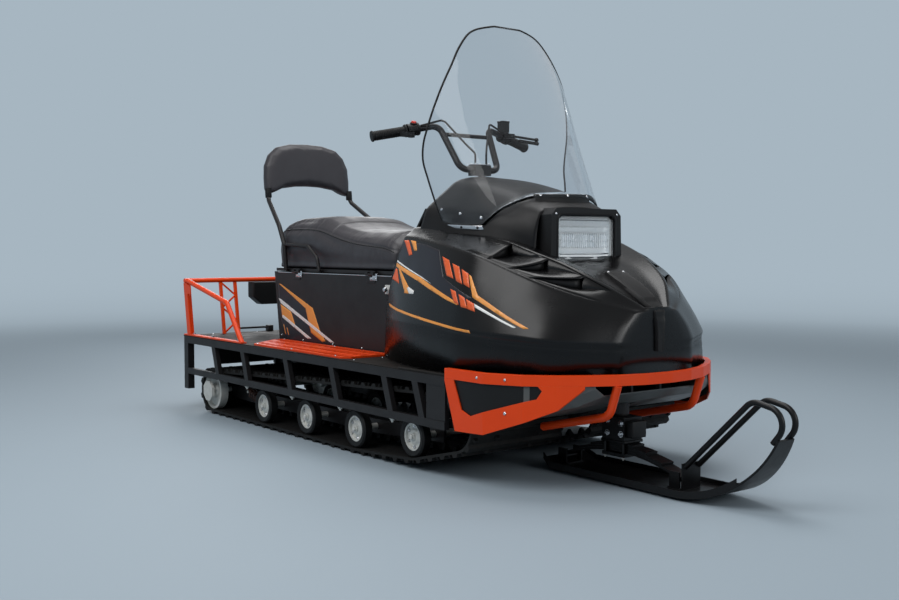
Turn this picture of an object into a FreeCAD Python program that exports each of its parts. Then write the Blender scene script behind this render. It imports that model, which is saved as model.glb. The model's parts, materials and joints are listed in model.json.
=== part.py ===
"""Single-ski utility snowmobile with twin tracks, a side-truss body and a cargo deck.

Units are millimetres. +X points forward, +Y to the rider's left, +Z up. The origin
lies on the ground, under the middle of the machine's overall length and width.
A station is a distance along X from the rear end of the machine.
"""
import FreeCAD, Part
import math
import os

from FreeCAD import Vector

os.makedirs("parts", exist_ok=True)

# ---------------------------------------------------------------- driving sizes
LENGTH = 2690.0            # rear rack to the front of the ski loop
HALF_WIDTH = 450.0         # centre plane to the outer face of a side truss
REAR = -LENGTH / 2.0

TRUSS_START = 10.0         # station of the truss tail
TRUSS_END = 1832.0         # station of the truss head
TRUSS_TOP = 307.0          # height of the top rail's upper face
TRUSS_BOTTOM = 150.0       # height of the lower rail's under face
RAIL = 28.0                # square tube of the top rail
LOWER_RAIL = 25.0          # height of the lower rail
POST_WIDTH = 30.0
POST_DEPTH = 18.0
POST_LEAN = 36.0           # how far the foot of a post stands ahead of its head

SHEET = 3.0                # deck and belly sheet
PLATE = 4.0                # bumper plates
CLEAR = 0.3                # seat between two pieces that are not fused
RUN = 0.5                  # radial running clearance of a pivot

# tracks
TRACK_OUT = 428.0          # centre plane to a track's outer edge
TRACK_IN = 62.0            # centre plane to a track's inner edge
BELT = 8.0
LUG = 10.0
LUG_PITCH = 62.0
LUG_BASE = 26.0
LUG_TIP = 16.0
WHEEL_R = 64.0
WHEEL_WIDTH = 34.0
WHEEL_HUB_R = 43.0
WHEEL_STATIONS = (660.0, 982.0, 1304.0, 1629.0)
FRONT_WHEEL_LIFT = 18.0
IDLER_STATION = 215.0
IDLER_R = 76.0
SPROCKET_STATION = 1846.0
SPROCKET_R = 78.0
SPROCKET_Z = 168.0
AXLE_R = 11.0

# deck and seat
SEATBOX_START = 452.0
SEATBOX_END = 1250.0
SEATBOX_HALF = 235.0
SEATBOX_TOP = 585.0
SEATBOX_LEAN = 38.0
SEATBOX_WALL = 4.0
GRATE_START = 500.0
GRATE_END = 1262.0
GRATE_IN = 246.0
GRATE_OUT = 436.0
GRATE_SKEW = 120.0         # how far ahead of its inner corner the grate's outer rear corner lies
CUSHION_HALF = 226.0

# rear rack
RACK_TOP = 530.0
RACK_TUBE_R = 10.0
RACK_HALF = 436.0
RACK_FRONT = 516.0

# bumper
BUMPER_TOP = 333.0
BAND_HEIGHT = 30.0

# steering
COLUMN_STATION = 1440.0
COLUMN_TOP_Z = 945.0
COLUMN_RAKE = 25.0
COLUMN_R = 12.0
BAR_R = 11.0
KINGPIN_STATION = 2100.0
KINGPIN_R = 15.0

# hood
HOOD_WALL = 4.0
HOOD_BOTTOM = 315.5
HINGE_STATION = 2218.0     # hood hinge pin
HINGE_Z = 338.0

GROUND = BELT + LUG        # height of the belt's inner face on the ground run


# ---------------------------------------------------------------- helpers
def at(station):
    """X of a station."""
    return REAR + station


def box(x0, x1, y0, y1, z0, z1):
    """Box between two corners."""
    return Part.makeBox(x1 - x0, y1 - y0, z1 - z0, Vector(x0, y0, z0))


def cylinder(start, end, radius):
    """Round bar between two points."""
    start = Vector(*start)
    along = Vector(*end) - start
    return Part.makeCylinder(radius, along.Length, start, along)


def mirrored(shape):
    """Copy of a shape on the other side of the centre plane."""
    return shape.mirror(Vector(0, 0, 0), Vector(0, 1, 0))


def pair(shapes):
    """Shapes with their mirror images."""
    return list(shapes) + [mirrored(shape) for shape in shapes]


def prism_y(profile, y0, y1):
    """Profile of (x, z) corners, extruded from y0 to y1."""
    points = [Vector(x, y0, z) for x, z in profile]
    wire = Part.makePolygon(points + points[:1])
    return Part.Face(wire).extrude(Vector(0, y1 - y0, 0))


def prism_z(outline, z0, z1):
    """Outline of (x, y) corners, extruded from z0 to z1."""
    points = [Vector(x, y, z0) for x, y in outline]
    wire = Part.makePolygon(points + points[:1])
    return Part.Face(wire).extrude(Vector(0, 0, z1 - z0))


def prism_x(outline, x0, x1):
    """Outline of (y, z) corners, extruded from x0 to x1."""
    points = [Vector(x0, y, z) for y, z in outline]
    wire = Part.makePolygon(points + points[:1])
    return Part.Face(wire).extrude(Vector(x1 - x0, 0, 0))


def bent_path(points, bend):
    """Wire of straight runs joined by tangent arcs of one bend radius."""
    points = [Vector(*point) for point in points]
    edges = []
    start = points[0]
    for before, corner, after in zip(points, points[1:], points[2:]):
        way_in = (corner - before).normalize()
        way_out = (after - corner).normalize()
        half_turn = way_in.getAngle(way_out) / 2.0
        setback = bend * math.tan(half_turn)
        inward = (way_out - way_in).normalize()
        arc_start = corner - way_in * setback
        arc_end = corner + way_out * setback
        arc_middle = corner + inward * (bend / math.cos(half_turn) - bend)
        edges.append(Part.LineSegment(start, arc_start).toShape())
        edges.append(Part.Arc(arc_start, arc_middle, arc_end).toShape())
        start = arc_end
    edges.append(Part.LineSegment(start, points[-1]).toShape())
    return Part.Wire(edges)


def bent_tube(points, radius, bend):
    """Round bar along a bent path."""
    path = bent_path(points, bend)
    first = Vector(*points[0])
    way = Vector(*points[1]) - first
    ring = Part.Wire(Part.makeCircle(radius, first, way))
    return path.makePipeShell([ring], True, True)


def save(name, *shapes):
    """Write one node; several solids are kept side by side in it."""
    shape = shapes[0] if len(shapes) == 1 else Part.makeCompound(list(shapes))
    shape.exportStep("parts/%s.step" % name)


# ---------------------------------------------------------------- side trusses
# foot stations are POST_LEAN ahead of these head stations
POST_STATIONS = (275.0, 530.0, 868.0, 1183.0, 1501.0, 1667.0)
TAIL_WIDTH = 38.0
TAIL_BOTTOM = 86.0
HEAD_PLATE = 92.0         # length of the bolted plate at the truss head


def side_trusses():
    """Top rails, lower rails, leaning posts, tail posts and head plates."""
    inner = -HALF_WIDTH
    top = box(at(TRUSS_START), at(TRUSS_END), inner, inner + RAIL, TRUSS_TOP - RAIL, TRUSS_TOP)
    lower_start = at(TRUSS_START + TAIL_WIDTH)
    lower = box(lower_start, at(TRUSS_END), inner, inner + POST_DEPTH,
                TRUSS_BOTTOM, TRUSS_BOTTOM + LOWER_RAIL)
    save("truss_rails", *pair([top, lower]))

    post_top = TRUSS_TOP - RAIL
    post_foot = TRUSS_BOTTOM + LOWER_RAIL
    posts = []
    for station in POST_STATIONS:
        head = at(station)
        foot = head + POST_LEAN
        profile = [(head, post_top), (head + POST_WIDTH, post_top),
                   (foot + POST_WIDTH, post_foot), (foot, post_foot)]
        posts.append(prism_y(profile, inner, inner + POST_DEPTH))
    tail = box(at(TRUSS_START), at(TRUSS_START) + TAIL_WIDTH, inner, inner + RAIL,
               TAIL_BOTTOM, post_top)
    plate = box(at(TRUSS_END) - HEAD_PLATE, at(TRUSS_END), inner + 2.0, inner + 2.0 + PLATE,
                post_foot, post_top)
    foot = box(at(TRUSS_END) - PLATE, at(TRUSS_END), inner + 2.0 + PLATE, inner + POST_DEPTH,
               post_foot, post_top)
    save("truss_posts", *pair(posts + [tail, plate.fuse(foot)]))


# ---------------------------------------------------------------- frame
KEEL_HALF = 38.0
KEEL_BOTTOM = 150.0
KEEL_TOP = 276.0
KEEL_START = 90.0
KEEL_END = 2060.0
CROSS_STATIONS = (40.0, 420.0, 800.0, 1180.0, 1560.0)
CROSS_WIDTH = 40.0
HEAD_R = 27.0
HEAD_BOTTOM = 192.0
HEAD_TOP = 304.0


def frame():
    """Central keel beam with the steering head, and the cross members."""
    keel = box(at(KEEL_START), at(KEEL_END), -KEEL_HALF, KEEL_HALF, KEEL_BOTTOM, KEEL_TOP)
    nose = prism_y([(at(1900), KEEL_BOTTOM - 1), (at(KEEL_END) + 1, KEEL_BOTTOM - 1),
                    (at(KEEL_END) + 1, 205.0)], -KEEL_HALF - 1, KEEL_HALF + 1)
    bore = cylinder((at(SPROCKET_STATION), -60, SPROCKET_Z),
                    (at(SPROCKET_STATION), 60, SPROCKET_Z), AXLE_R + 3.0)
    x = at(KINGPIN_STATION)
    head = cylinder((x, 0, HEAD_BOTTOM), (x, 0, HEAD_TOP), HEAD_R)
    arm = box(at(KEEL_END) - 10, x, -KEEL_HALF, KEEL_HALF, 215.0, KEEL_TOP)
    head = head.fuse(arm).cut(cylinder((x, 0, 100), (x, 0, 400), KINGPIN_R + CLEAR))
    save("keel_beam", keel.cut(nose).cut(bore).fuse(head))

    crosses = []
    side = HALF_WIDTH - RAIL
    for station in CROSS_STATIONS:
        crosses.append(box(at(station), at(station) + CROSS_WIDTH, -side, side,
                           KEEL_TOP, TRUSS_TOP))
    save("cross_members", *crosses)


# ---------------------------------------------------------------- tracks
def circle_tangent(first, second):
    """Tangent points of the outer line that leaves both circles on its left.

    A circle is (x, z, radius); the loop runs anticlockwise seen from the right side.
    """
    x1, z1, r1 = first
    x2, z2, r2 = second
    dx = x2 - x1
    dz = z2 - z1
    distance = math.hypot(dx, dz)
    heading = math.atan2(dz, dx)
    normal = heading - math.acos((r1 - r2) / distance)
    step = (math.cos(normal), math.sin(normal))
    return (x1 + r1 * step[0], z1 + r1 * step[1]), (x2 + r2 * step[0], z2 + r2 * step[1])


def track_circles(offset):
    """Wheels that the loop turns round, in order, grown by an offset."""
    wheel_z = GROUND + WHEEL_R
    last = WHEEL_STATIONS[-1]
    return [
        (at(IDLER_STATION), GROUND + IDLER_R, IDLER_R + offset),
        (at(WHEEL_STATIONS[-2]), wheel_z, WHEEL_R + offset),
        (at(last), wheel_z + FRONT_WHEEL_LIFT, WHEEL_R + offset),
        (at(SPROCKET_STATION), SPROCKET_Z, SPROCKET_R + offset),
    ]


def loop_pieces(offset):
    """Straight runs and arcs of the loop: (kind, start, end, centre, angle0, angle1)."""
    circles = track_circles(offset)
    count = len(circles)
    lines = [circle_tangent(circles[i], circles[(i + 1) % count]) for i in range(count)]
    pieces = []
    for i in range(count):
        x, z, radius = circles[i]
        arrive = lines[i - 1][1]
        leave = lines[i][0]
        angle0 = math.atan2(arrive[1] - z, arrive[0] - x)
        angle1 = math.atan2(leave[1] - z, leave[0] - x)
        if angle1 < angle0 - 1e-9:
            angle1 += 2.0 * math.pi
        pieces.append(("arc", radius, (x, z), angle0, angle1))
        pieces.append(("line", lines[i][0], lines[i][1]))
    return pieces


def piece_length(piece):
    """Length of one run or arc."""
    if piece[0] == "arc":
        return piece[1] * (piece[4] - piece[3])
    (x0, z0), (x1, z1) = piece[1], piece[2]
    return math.hypot(x1 - x0, z1 - z0)


def loop_point(pieces, distance, lift):
    """Point of the loop at a distance along it, lifted outwards; and if it is on an arc."""
    for piece in pieces:
        length = piece_length(piece)
        if distance <= length:
            break
        distance -= length
    if piece[0] == "arc":
        radius, (x, z), angle0 = piece[1], piece[2], piece[3]
        angle = angle0 + min(distance, length) / radius
        reach = radius + lift
        return (x + reach * math.cos(angle), z + reach * math.sin(angle)), True
    (x0, z0), (x1, z1) = piece[1], piece[2]
    share = min(distance, length) / length
    nx = (z1 - z0) / length
    nz = -(x1 - x0) / length
    return (x0 + (x1 - x0) * share + nx * lift, z0 + (z1 - z0) * share + nz * lift), False


def track_outline():
    """Outer line of the belt with its cross lugs, as a closed polygon."""
    pieces = loop_pieces(BELT)
    total = sum(piece_length(piece) for piece in pieces)
    lugs = int(total // LUG_PITCH)
    pitch = total / lugs
    slope = (LUG_BASE - LUG_TIP) / 2.0
    outline = []
    for i in range(lugs):
        start = i * pitch + (pitch - LUG_BASE) / 2.0
        steps = ((0.0, 0.0), (slope, LUG), (slope + LUG_TIP, LUG), (LUG_BASE, 0.0))
        for along, lift in steps:
            outline.append(loop_point(pieces, start + along, lift)[0])
        gap = start + LUG_BASE + (pitch - LUG_BASE) / 2.0
        point, on_arc = loop_point(pieces, gap % total, 0.0)
        if on_arc:
            outline.append(point)
    return outline


def inner_loop_wire(y):
    """Inner line of the belt, as straight runs and arcs."""
    edges = []
    for piece in loop_pieces(0.0):
        if piece_length(piece) < 1e-6:
            continue
        if piece[0] == "line":
            (x0, z0), (x1, z1) = piece[1], piece[2]
            edges.append(Part.LineSegment(Vector(x0, y, z0), Vector(x1, y, z1)).toShape())
            continue
        radius, (x, z), angle0, angle1 = piece[1:]
        ends = [Vector(x + radius * math.cos(a), y, z + radius * math.sin(a))
                for a in (angle0, (angle0 + angle1) / 2.0, angle1)]
        edges.append(Part.Arc(*ends).toShape())
    return Part.Wire(edges)


def tracks():
    """Twin rubber tracks, each one fixed loop with its lugs."""
    belt = prism_y(track_outline(), -TRACK_OUT, -TRACK_IN)
    inside = Part.Face(inner_loop_wire(-TRACK_OUT - 1.0))
    inside = inside.extrude(Vector(0, TRACK_OUT - TRACK_IN + 2.0, 0))
    belt = belt.cut(inside)
    save("track_right", belt)
    save("track_left", mirrored(belt))


# ---------------------------------------------------------------- running gear
WHEEL_ROWS = (-407.0, -108.0)      # middle of a wheel's tyre, right side
CARRIER_ROWS = (-330.0, -160.0)    # carrier rails, right side
CARRIER_THICK = 10.0


def wheel_height(station):
    """Height of a road wheel's axle."""
    lift = FRONT_WHEEL_LIFT if station == WHEEL_STATIONS[-1] else 0.0
    return GROUND + WHEEL_R + lift


def revolve_y(profile, x, z, y):
    """Ring turned about a Y axis; the profile is (radius, y offset) corners."""
    points = [Vector(x + radius, y + offset, z) for radius, offset in profile]
    face = Part.Face(Part.makePolygon(points + points[:1]))
    return face.revolve(Vector(x, 0, z), Vector(0, 1, 0), 360)


def road_wheels():
    """Road wheels: rubber tyres on dished hubs, welded to fixed axles."""
    half = WHEEL_WIDTH / 2.0
    tyre_profile = [(WHEEL_HUB_R + CLEAR, -half + 3), (WHEEL_R - 6, -half), (WHEEL_R - CLEAR, -half + 5),
                    (WHEEL_R - CLEAR, half - 5), (WHEEL_R - 6, half), (WHEEL_HUB_R + CLEAR, half - 3)]
    hub_profile = [(AXLE_R - 1, -9), (20, -9), (28, -3), (38, -3), (38, -12), (WHEEL_HUB_R, -12),
                   (WHEEL_HUB_R, 12), (38, 12), (38, 3), (28, 3), (20, 9), (AXLE_R - 1, 9)]
    tyres, hubs = [], []
    for station in WHEEL_STATIONS:
        x, z = at(station), wheel_height(station)
        axle = cylinder((x, WHEEL_ROWS[0] - 12, z), (x, -KEEL_HALF - 30, z), AXLE_R)
        rims = [revolve_y(hub_profile, x, z, y) for y in WHEEL_ROWS]
        hubs.append(axle.fuse(rims))
        tyres.extend([revolve_y(tyre_profile, x, z, y) for y in WHEEL_ROWS])
    save("road_wheel_tyres", *pair(tyres))
    save("road_wheel_hubs", *pair(hubs))


IDLER_ROWS = (-400.0, -108.0)      # middle of an idler wheel, right side
END_NUT_R = 43.0
END_NUT_FACE = 440.0


def rear_idlers():
    """Rear idler wheels on one shaft, with eight-sided end nuts."""
    half = 16.0
    profile = [(AXLE_R - 1, -half), (24, -half), (30, -5), (IDLER_R - 14, -5), (IDLER_R - 10, -half),
               (IDLER_R - CLEAR, -half), (IDLER_R - CLEAR, half), (IDLER_R - 10, half),
               (IDLER_R - 14, 5), (30, 5), (24, half), (AXLE_R - 1, half)]
    x, z = at(IDLER_STATION), GROUND + IDLER_R
    wheels = [revolve_y(profile, x, z, y) for y in IDLER_ROWS]
    corners = [math.radians(22.5 + 45.0 * i) for i in range(8)]
    flats = [(x + END_NUT_R * math.cos(a), z + END_NUT_R * math.sin(a)) for a in corners]
    nut = prism_y(flats, -END_NUT_FACE, -TRACK_OUT - CLEAR)
    shaft = cylinder((x, -END_NUT_FACE + 2, z), (x, END_NUT_FACE - 2, z), AXLE_R)
    save("rear_idler_wheels", shaft.fuse(pair(wheels + [nut])))


HANGER_STATIONS = (820.0, 1460.0)
SHAFT_R = 13.0


def carriers():
    """Carrier rails that hold the axles between the runs of each track."""
    first = at(WHEEL_STATIONS[0]) - 60
    last = at(WHEEL_STATIONS[-1]) + 50
    middle = at(WHEEL_STATIONS[-2])
    tail = at(IDLER_STATION)
    wheel_z = GROUND + WHEEL_R
    profile = [(tail - 30, wheel_z - 10), (tail + 90, wheel_z - 22), (first, wheel_z - 24),
               (middle, wheel_z - 24), (last, wheel_z - 2), (last, wheel_z + 38),
               (middle, wheel_z + 24), (first, wheel_z + 24), (tail - 30, wheel_z + 32)]
    axles = [(at(station), wheel_height(station)) for station in WHEEL_STATIONS]
    axles.append((tail, GROUND + IDLER_R))
    rails = []
    for y in CARRIER_ROWS:
        rail = prism_y(profile, y - CARRIER_THICK / 2.0, y + CARRIER_THICK / 2.0)
        for x, z in axles:
            rail = rail.cut(cylinder((x, y - 20, z), (x, y + 20, z), AXLE_R + CLEAR))
        rails.append(rail)
    save("carrier_rails", *pair(rails))

    spacer_outer = CARRIER_ROWS[0] + CARRIER_THICK / 2.0
    spacer_inner = CARRIER_ROWS[1] - CARRIER_THICK / 2.0
    spacers, hangers = [], []
    for station in HANGER_STATIONS:
        x = at(station)
        spacers.append(cylinder((x, spacer_outer, wheel_z), (x, spacer_inner, wheel_z), SHAFT_R))
        reach = -CARRIER_ROWS[1] - CARRIER_THICK / 2.0
        shaft = cylinder((x, -reach, wheel_z), (x, reach, wheel_z), SHAFT_R)
        drop = box(x - 22, x + 22, -KEEL_HALF, KEEL_HALF, wheel_z - 20, KEEL_BOTTOM)
        hangers.append(drop.fuse(shaft))
    save("suspension_links", *hangers, *pair(spacers))


TEETH = 9


SPROCKET_ROWS = (-300.0, -190.0)   # middle of a sprocket, right side
TOOTH_ROOT = 64.0


def drive():
    """Front drive sprockets on their shaft."""
    x, z = at(SPROCKET_STATION), SPROCKET_Z
    tip = SPROCKET_R - 1
    # share of the tooth pitch, then radius
    tooth = ((-0.30, TOOTH_ROOT), (-0.16, tip), (0.16, tip), (0.30, TOOTH_ROOT))
    wheels = []
    for y in SPROCKET_ROWS:
        points = []
        for i in range(TEETH):
            for share, radius in tooth:
                angle = 2.0 * math.pi * (i + share) / TEETH
                points.append((x + radius * math.cos(angle), z + radius * math.sin(angle)))
        wheel = prism_y(points, y - 13, y + 13)
        wheels.append(wheel)
    reach = HALF_WIDTH - LOWER_RAIL - CLEAR
    shaft = cylinder((x, -reach, z), (x, reach, z), AXLE_R)
    save("drive_axle", shaft.fuse(pair(wheels)))


# ---------------------------------------------------------------- deck and box
def deck():
    """One sheet on the trusses: cargo deck, running boards and engine floor."""
    side = HALF_WIDTH - 2.0
    sheet = box(at(0), at(TRUSS_END), -side, side, TRUSS_TOP, TRUSS_TOP + SHEET)
    save("deck_sheet", sheet)


GRATE_HOLES = (18, 3)
GRATE_HEIGHT = 7.0


def step_grates():
    """Pierced anti-slip grates on both running boards."""
    z0 = TRUSS_TOP + SHEET
    grate = box(at(GRATE_START), at(GRATE_END), -GRATE_OUT, -GRATE_IN, z0, z0 + GRATE_HEIGHT)
    count_x, count_y = GRATE_HOLES
    pitch_x = (GRATE_END - GRATE_START) / count_x
    pitch_y = (GRATE_OUT - GRATE_IN) / count_y
    holes = []
    for i in range(count_x):
        for j in range(count_y):
            x = at(GRATE_START) + (i + 0.5) * pitch_x
            y = -GRATE_OUT + (j + 0.5) * pitch_y
            half_x = pitch_x * 0.32
            half_y = pitch_y * 0.30
            outline = [(x - half_x, y - half_y * 0.5), (x - half_x * 0.5, y - half_y),
                       (x + half_x * 0.5, y - half_y), (x + half_x, y - half_y * 0.5),
                       (x + half_x, y + half_y * 0.5), (x + half_x * 0.5, y + half_y),
                       (x - half_x * 0.5, y + half_y), (x - half_x, y + half_y * 0.5)]
            holes.append(prism_z(outline, z0 - 1, z0 + GRATE_HEIGHT + 1))
    grate = grate.cut(Part.makeCompound(holes))
    start, end = at(GRATE_START), at(GRATE_END)
    nose = 28.0
    outline = [(start, -GRATE_IN), (start, -GRATE_IN - 40), (start + GRATE_SKEW, -GRATE_OUT),
               (end - nose, -GRATE_OUT), (end, -GRATE_OUT + nose), (end, -GRATE_IN)]
    grate = grate.common(prism_z(outline, z0 - 1, z0 + GRATE_HEIGHT + 1))
    rim = prism_z(outline, z0, z0 + GRATE_HEIGHT)
    inset = 9.0
    hollow = [(start + inset, -GRATE_IN - inset), (start + inset, -GRATE_IN - 37),
              (start + GRATE_SKEW + 4, -GRATE_OUT + inset), (end - nose - 4, -GRATE_OUT + inset),
              (end - inset, -GRATE_OUT + nose + 4), (end - inset, -GRATE_IN - inset)]
    grate = grate.fuse(rim.cut(prism_z(hollow, z0 - 1, z0 + GRATE_HEIGHT + 1))).removeSplitter()
    save("step_grates", *pair([grate]))


SEAT_BASE = 12.0
SEAT_BASE_Z = SEATBOX_TOP + 2.0
SEAT_HINGE_Z = SEATBOX_TOP + 1.0
SEAT_HINGE_STATIONS = (596.0, 1122.0)


def lower_hinge_leaves():
    """Butterfly hinge leaves on the right side of the seat box, each with its middle knuckle."""
    leaves = []
    y = -SEATBOX_HALF
    axis_z = SEAT_HINGE_Z
    for station in SEAT_HINGE_STATIONS:
        x = at(station)
        leaf = box(x - 27, x + 27, y - 2, y, axis_z - 30, axis_z - 5)
        barrel = cylinder((x - 9, y - 6, axis_z), (x + 9, y - 6, axis_z), 4.0)
        web = box(x - 9, x + 9, y - 6, y - 2, axis_z - 10, axis_z - 1)
        leaves.append(leaf.fuse([barrel, web]))
    return leaves


def upper_hinge_leaves():
    """Leaves on the seat board, each with two outer knuckles."""
    leaves = []
    y = -SEATBOX_HALF
    for station in SEAT_HINGE_STATIONS:
        x = at(station)
        leaf = box(x - 27, x + 27, y - 2, -CUSHION_HALF, SEAT_BASE_Z + 1.0, SEAT_BASE_Z + SEAT_BASE)
        knuckles = []
        for x0, x1 in ((x - 27, x - 9.5), (x + 9.5, x + 27)):
            knuckles.append(cylinder((x0, y - 6, SEAT_HINGE_Z), (x1, y - 6, SEAT_HINGE_Z), 4.0))
            knuckles.append(box(x0, x1, y - 9, y - 2, SEAT_HINGE_Z + 1, SEAT_HINGE_Z + 9))
        leaves.append(leaf.fuse(knuckles))
    return leaves


def seat_box():
    """Hollow box under the seat, open at the top."""
    z0 = TRUSS_TOP + SHEET
    lean = SEATBOX_LEAN
    wall = SEATBOX_WALL
    rear = at(SEATBOX_START)
    front = at(SEATBOX_END)
    outline = [(rear, z0), (front, z0), (front, SEATBOX_TOP), (rear - lean, SEATBOX_TOP)]
    hollow = [(rear + wall, z0 + wall), (front - wall, z0 + wall),
              (front - wall, SEATBOX_TOP + 1), (rear - lean + wall, SEATBOX_TOP + 1)]
    outer = prism_y(outline, -SEATBOX_HALF, SEATBOX_HALF)
    inner = prism_y(hollow, -SEATBOX_HALF + wall, SEATBOX_HALF - wall)
    save("seat_box", outer.cut(inner).fuse(lower_hinge_leaves()))


# ---------------------------------------------------------------- seat
# station and height above the seat board's underside along the cushion's top, from the front
CUSHION_TOP = ((1190.0, 151.0), (960.0, 155.0), (830.0, 173.0), (740.0, 205.0), (600.0, 211.0),
               (470.0, 203.0))


def seat():
    """Seat board with its hinge leaves, and the cushion."""
    z0 = SEAT_BASE_Z
    rear = at(SEATBOX_START) - SEATBOX_LEAN
    board = box(rear, at(SEATBOX_END), -CUSHION_HALF, CUSHION_HALF, z0, z0 + SEAT_BASE)
    save("seat_board", board.fuse(upper_hinge_leaves()))
    z1 = z0 + SEAT_BASE + CLEAR
    front = at(SEATBOX_END) - 4
    profile = [(rear + 4, z1), (front, z1), (front, z0 + 113)]
    profile = profile + [(at(station), z0 + rise) for station, rise in CUSHION_TOP] + [(rear + 10, z0 + 175)]
    save("seat_cushion", prism_y(profile, -CUSHION_HALF, CUSHION_HALF))


PAD_HALF = 213.0
PAD_FOOT = 316.0           # heights of the pad above the seat board's underside
PAD_RISE = 338.0
PAD_TOP = 542.0
BACK_TUBE_R = 9.0
GRAB_TUBE_R = 7.0
BACK_BEND = 34.0
LEG_STATION = 520.0
GRAB_STATION = 776.0


def backrest():
    """Padded back on two bent tubes that run on as grab rails along the seat."""
    y = -CUSHION_HALF - BACK_TUBE_R - 6.0
    z0 = SEAT_BASE_Z
    foot_z = z0 + SEAT_BASE / 2.0
    # station, y and height above the seat board's underside, from the pad down
    leg_line = ((286.0, -193.0, PAD_FOOT + 24), (302.0, -200.0, 290.0), (466.0, y, 181.0), (508.0, y, 103.0))
    grab_line = ((506.0, y, 107.0), (690.0, y, 99.0), (760.0, y, 53.0))
    leg_points = [(at(station), aside, z0 + rise) for station, aside, rise in leg_line]
    leg = bent_tube(leg_points + [(at(LEG_STATION), y, foot_z)], BACK_TUBE_R, BACK_BEND)
    pad_space = box(at(200), at(400), -PAD_HALF - 20, 0, z0 + PAD_FOOT, z0 + PAD_TOP)
    grab_points = [(at(station), aside, z0 + rise) for station, aside, rise in grab_line]
    grab = bent_tube(grab_points + [(at(GRAB_STATION), y, foot_z)], GRAB_TUBE_R, BACK_BEND)
    lugs = []
    for station in (LEG_STATION, GRAB_STATION):
        x = at(station)
        lugs.append(cylinder((x, y, foot_z), (x, -CUSHION_HALF - CLEAR, foot_z), 5.0))
    save("backrest_tubes", *pair([leg.fuse([grab] + lugs).cut(pad_space)]))

    # half-width and height of the pad's corners, from the middle of its foot round to the middle of its top
    corners = ((90.0, PAD_RISE), (180.0, PAD_FOOT + CLEAR), (206.0, PAD_FOOT + CLEAR), (PAD_HALF, PAD_RISE),
               (206.0, 453.0), (150.0, 521.0), (60.0, PAD_TOP))
    left = [(aside, z0 + rise) for aside, rise in corners]
    slab = prism_x(left + [(-aside, z) for aside, z in reversed(left)], at(200), at(420))
    lean = [(at(250), z0 + 308), (at(306), z0 + 308), (at(284), z0 + 553), (at(232), z0 + 553)]
    save("backrest_pad", slab.common(prism_y(lean, -300, 300)))


# ---------------------------------------------------------------- rear rack
LATTICE_Y = (-287.0, -207.0)
SILL = 6.0


RACK_LEAN = 34.0
LATTICE_STEPS = 4


def lattice_post(z0):
    """Ladder-like post of two uprights and a zigzag, leaning forward at its foot."""
    y0, y1 = LATTICE_Y
    edge = 12.0
    profile = [(at(4), RACK_TOP), (at(16), RACK_TOP), (at(16) + RACK_LEAN, z0), (at(4) + RACK_LEAN, z0)]
    uprights = [prism_y(profile, y0, y0 + edge), prism_y(profile, y1 - edge, y1)]
    slots = []
    drop = (RACK_TOP - z0) / LATTICE_STEPS
    bar = 8.0
    for i in range(LATTICE_STEPS):
        high = RACK_TOP - i * drop
        low = high - drop
        near, far = (y0 + edge, y1 - edge) if i % 2 == 0 else (y1 - edge, y0 + edge)
        x = at(6) + RACK_LEAN * (i + 0.5) / LATTICE_STEPS
        slots.append(prism_x([(near, high - bar), (near, high), (far, low + bar), (far, low)], x - 2, x + 6))
    return uprights[0].fuse(uprights[1:] + slots)


def rear_rack():
    """Rear cargo rack: tube rails on corner posts, lattice posts and flat sills."""
    r = RACK_TUBE_R
    side = RACK_HALF
    z0 = TRUSS_TOP + SHEET
    sill_top = z0 + SILL
    rail = [(at(RACK_FRONT) + 6, sill_top - 8), (at(392), 462.0), (at(2 * r + CLEAR), RACK_TOP + r)]
    rail = [(x, -side, z) for x, z in rail]
    below = box(at(0), at(RACK_FRONT) + 60, -side - 30, -side + 30, z0 - 40, sill_top)
    right = bent_tube(rail, r, 30.0).cut(below)
    rear = cylinder((at(r), -side - r, RACK_TOP + r), (at(r), side + r, RACK_TOP + r), r)
    save("rack_rails", rear, *pair([right]))

    sill = box(at(0), at(RACK_FRONT) + 14, -side - r, -side + 14, z0, sill_top)
    foot_z = sill_top + CLEAR
    web = [(at(0), RACK_TOP), (at(30), RACK_TOP), (at(30) + RACK_LEAN, foot_z), (at(0) + RACK_LEAN, foot_z)]
    flange = [(at(0), RACK_TOP), (at(4), RACK_TOP), (at(4) + RACK_LEAN, foot_z), (at(0) + RACK_LEAN, foot_z)]
    gusset = [(at(4), RACK_TOP), (at(66), RACK_TOP - 10), (at(70), RACK_TOP - 44), (at(8), RACK_TOP - 44)]
    outer = -side - r
    post = prism_y(web, outer, outer + PLATE)
    post = post.fuse([prism_y(flange, outer, -side + 20), prism_y(gusset, outer, outer + PLATE)])
    post = post.cut(bent_tube(rail, r + CLEAR, 30.0))
    post = max(post.Solids, key=lambda solid: solid.Volume)
    save("rack_frame", *pair([sill, post, lattice_post(z0)]))


HITCH_PIN_R = 10.0


def tail():
    """Tail lamp under the rear rail and the tow hitch."""
    z1 = RACK_TOP - CLEAR
    outline = [(-150, z1 - 66), (-112, z1 - 98), (-2, z1 - 98), (36, z1 - 66), (36, z1), (-150, z1)]
    save("tail_lamp", prism_x(outline, at(0), at(64)))

    x = at(KEEL_START)
    plate = box(x - 12, x, -60, 60, 120, 240)
    upper = box(at(20), x - 12, -32, 32, 196, 206)
    lower = box(at(20), x - 12, -32, 32, 150, 160)
    hole = cylinder((at(46), 0, 100), (at(46), 0, 260), HITCH_PIN_R + RUN)
    save("tow_hitch", plate.fuse([upper, lower]).cut(hole))


# ---------------------------------------------------------------- bumper and belly
# half-width of the bumper's outer face against station, at the side plates' folds
BUMPER_PLAN = ((1832.0, 450.0), (2000.0, 445.0), (2107.0, 392.0), (2172.0, 325.0), (2218.0, 262.0))
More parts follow.
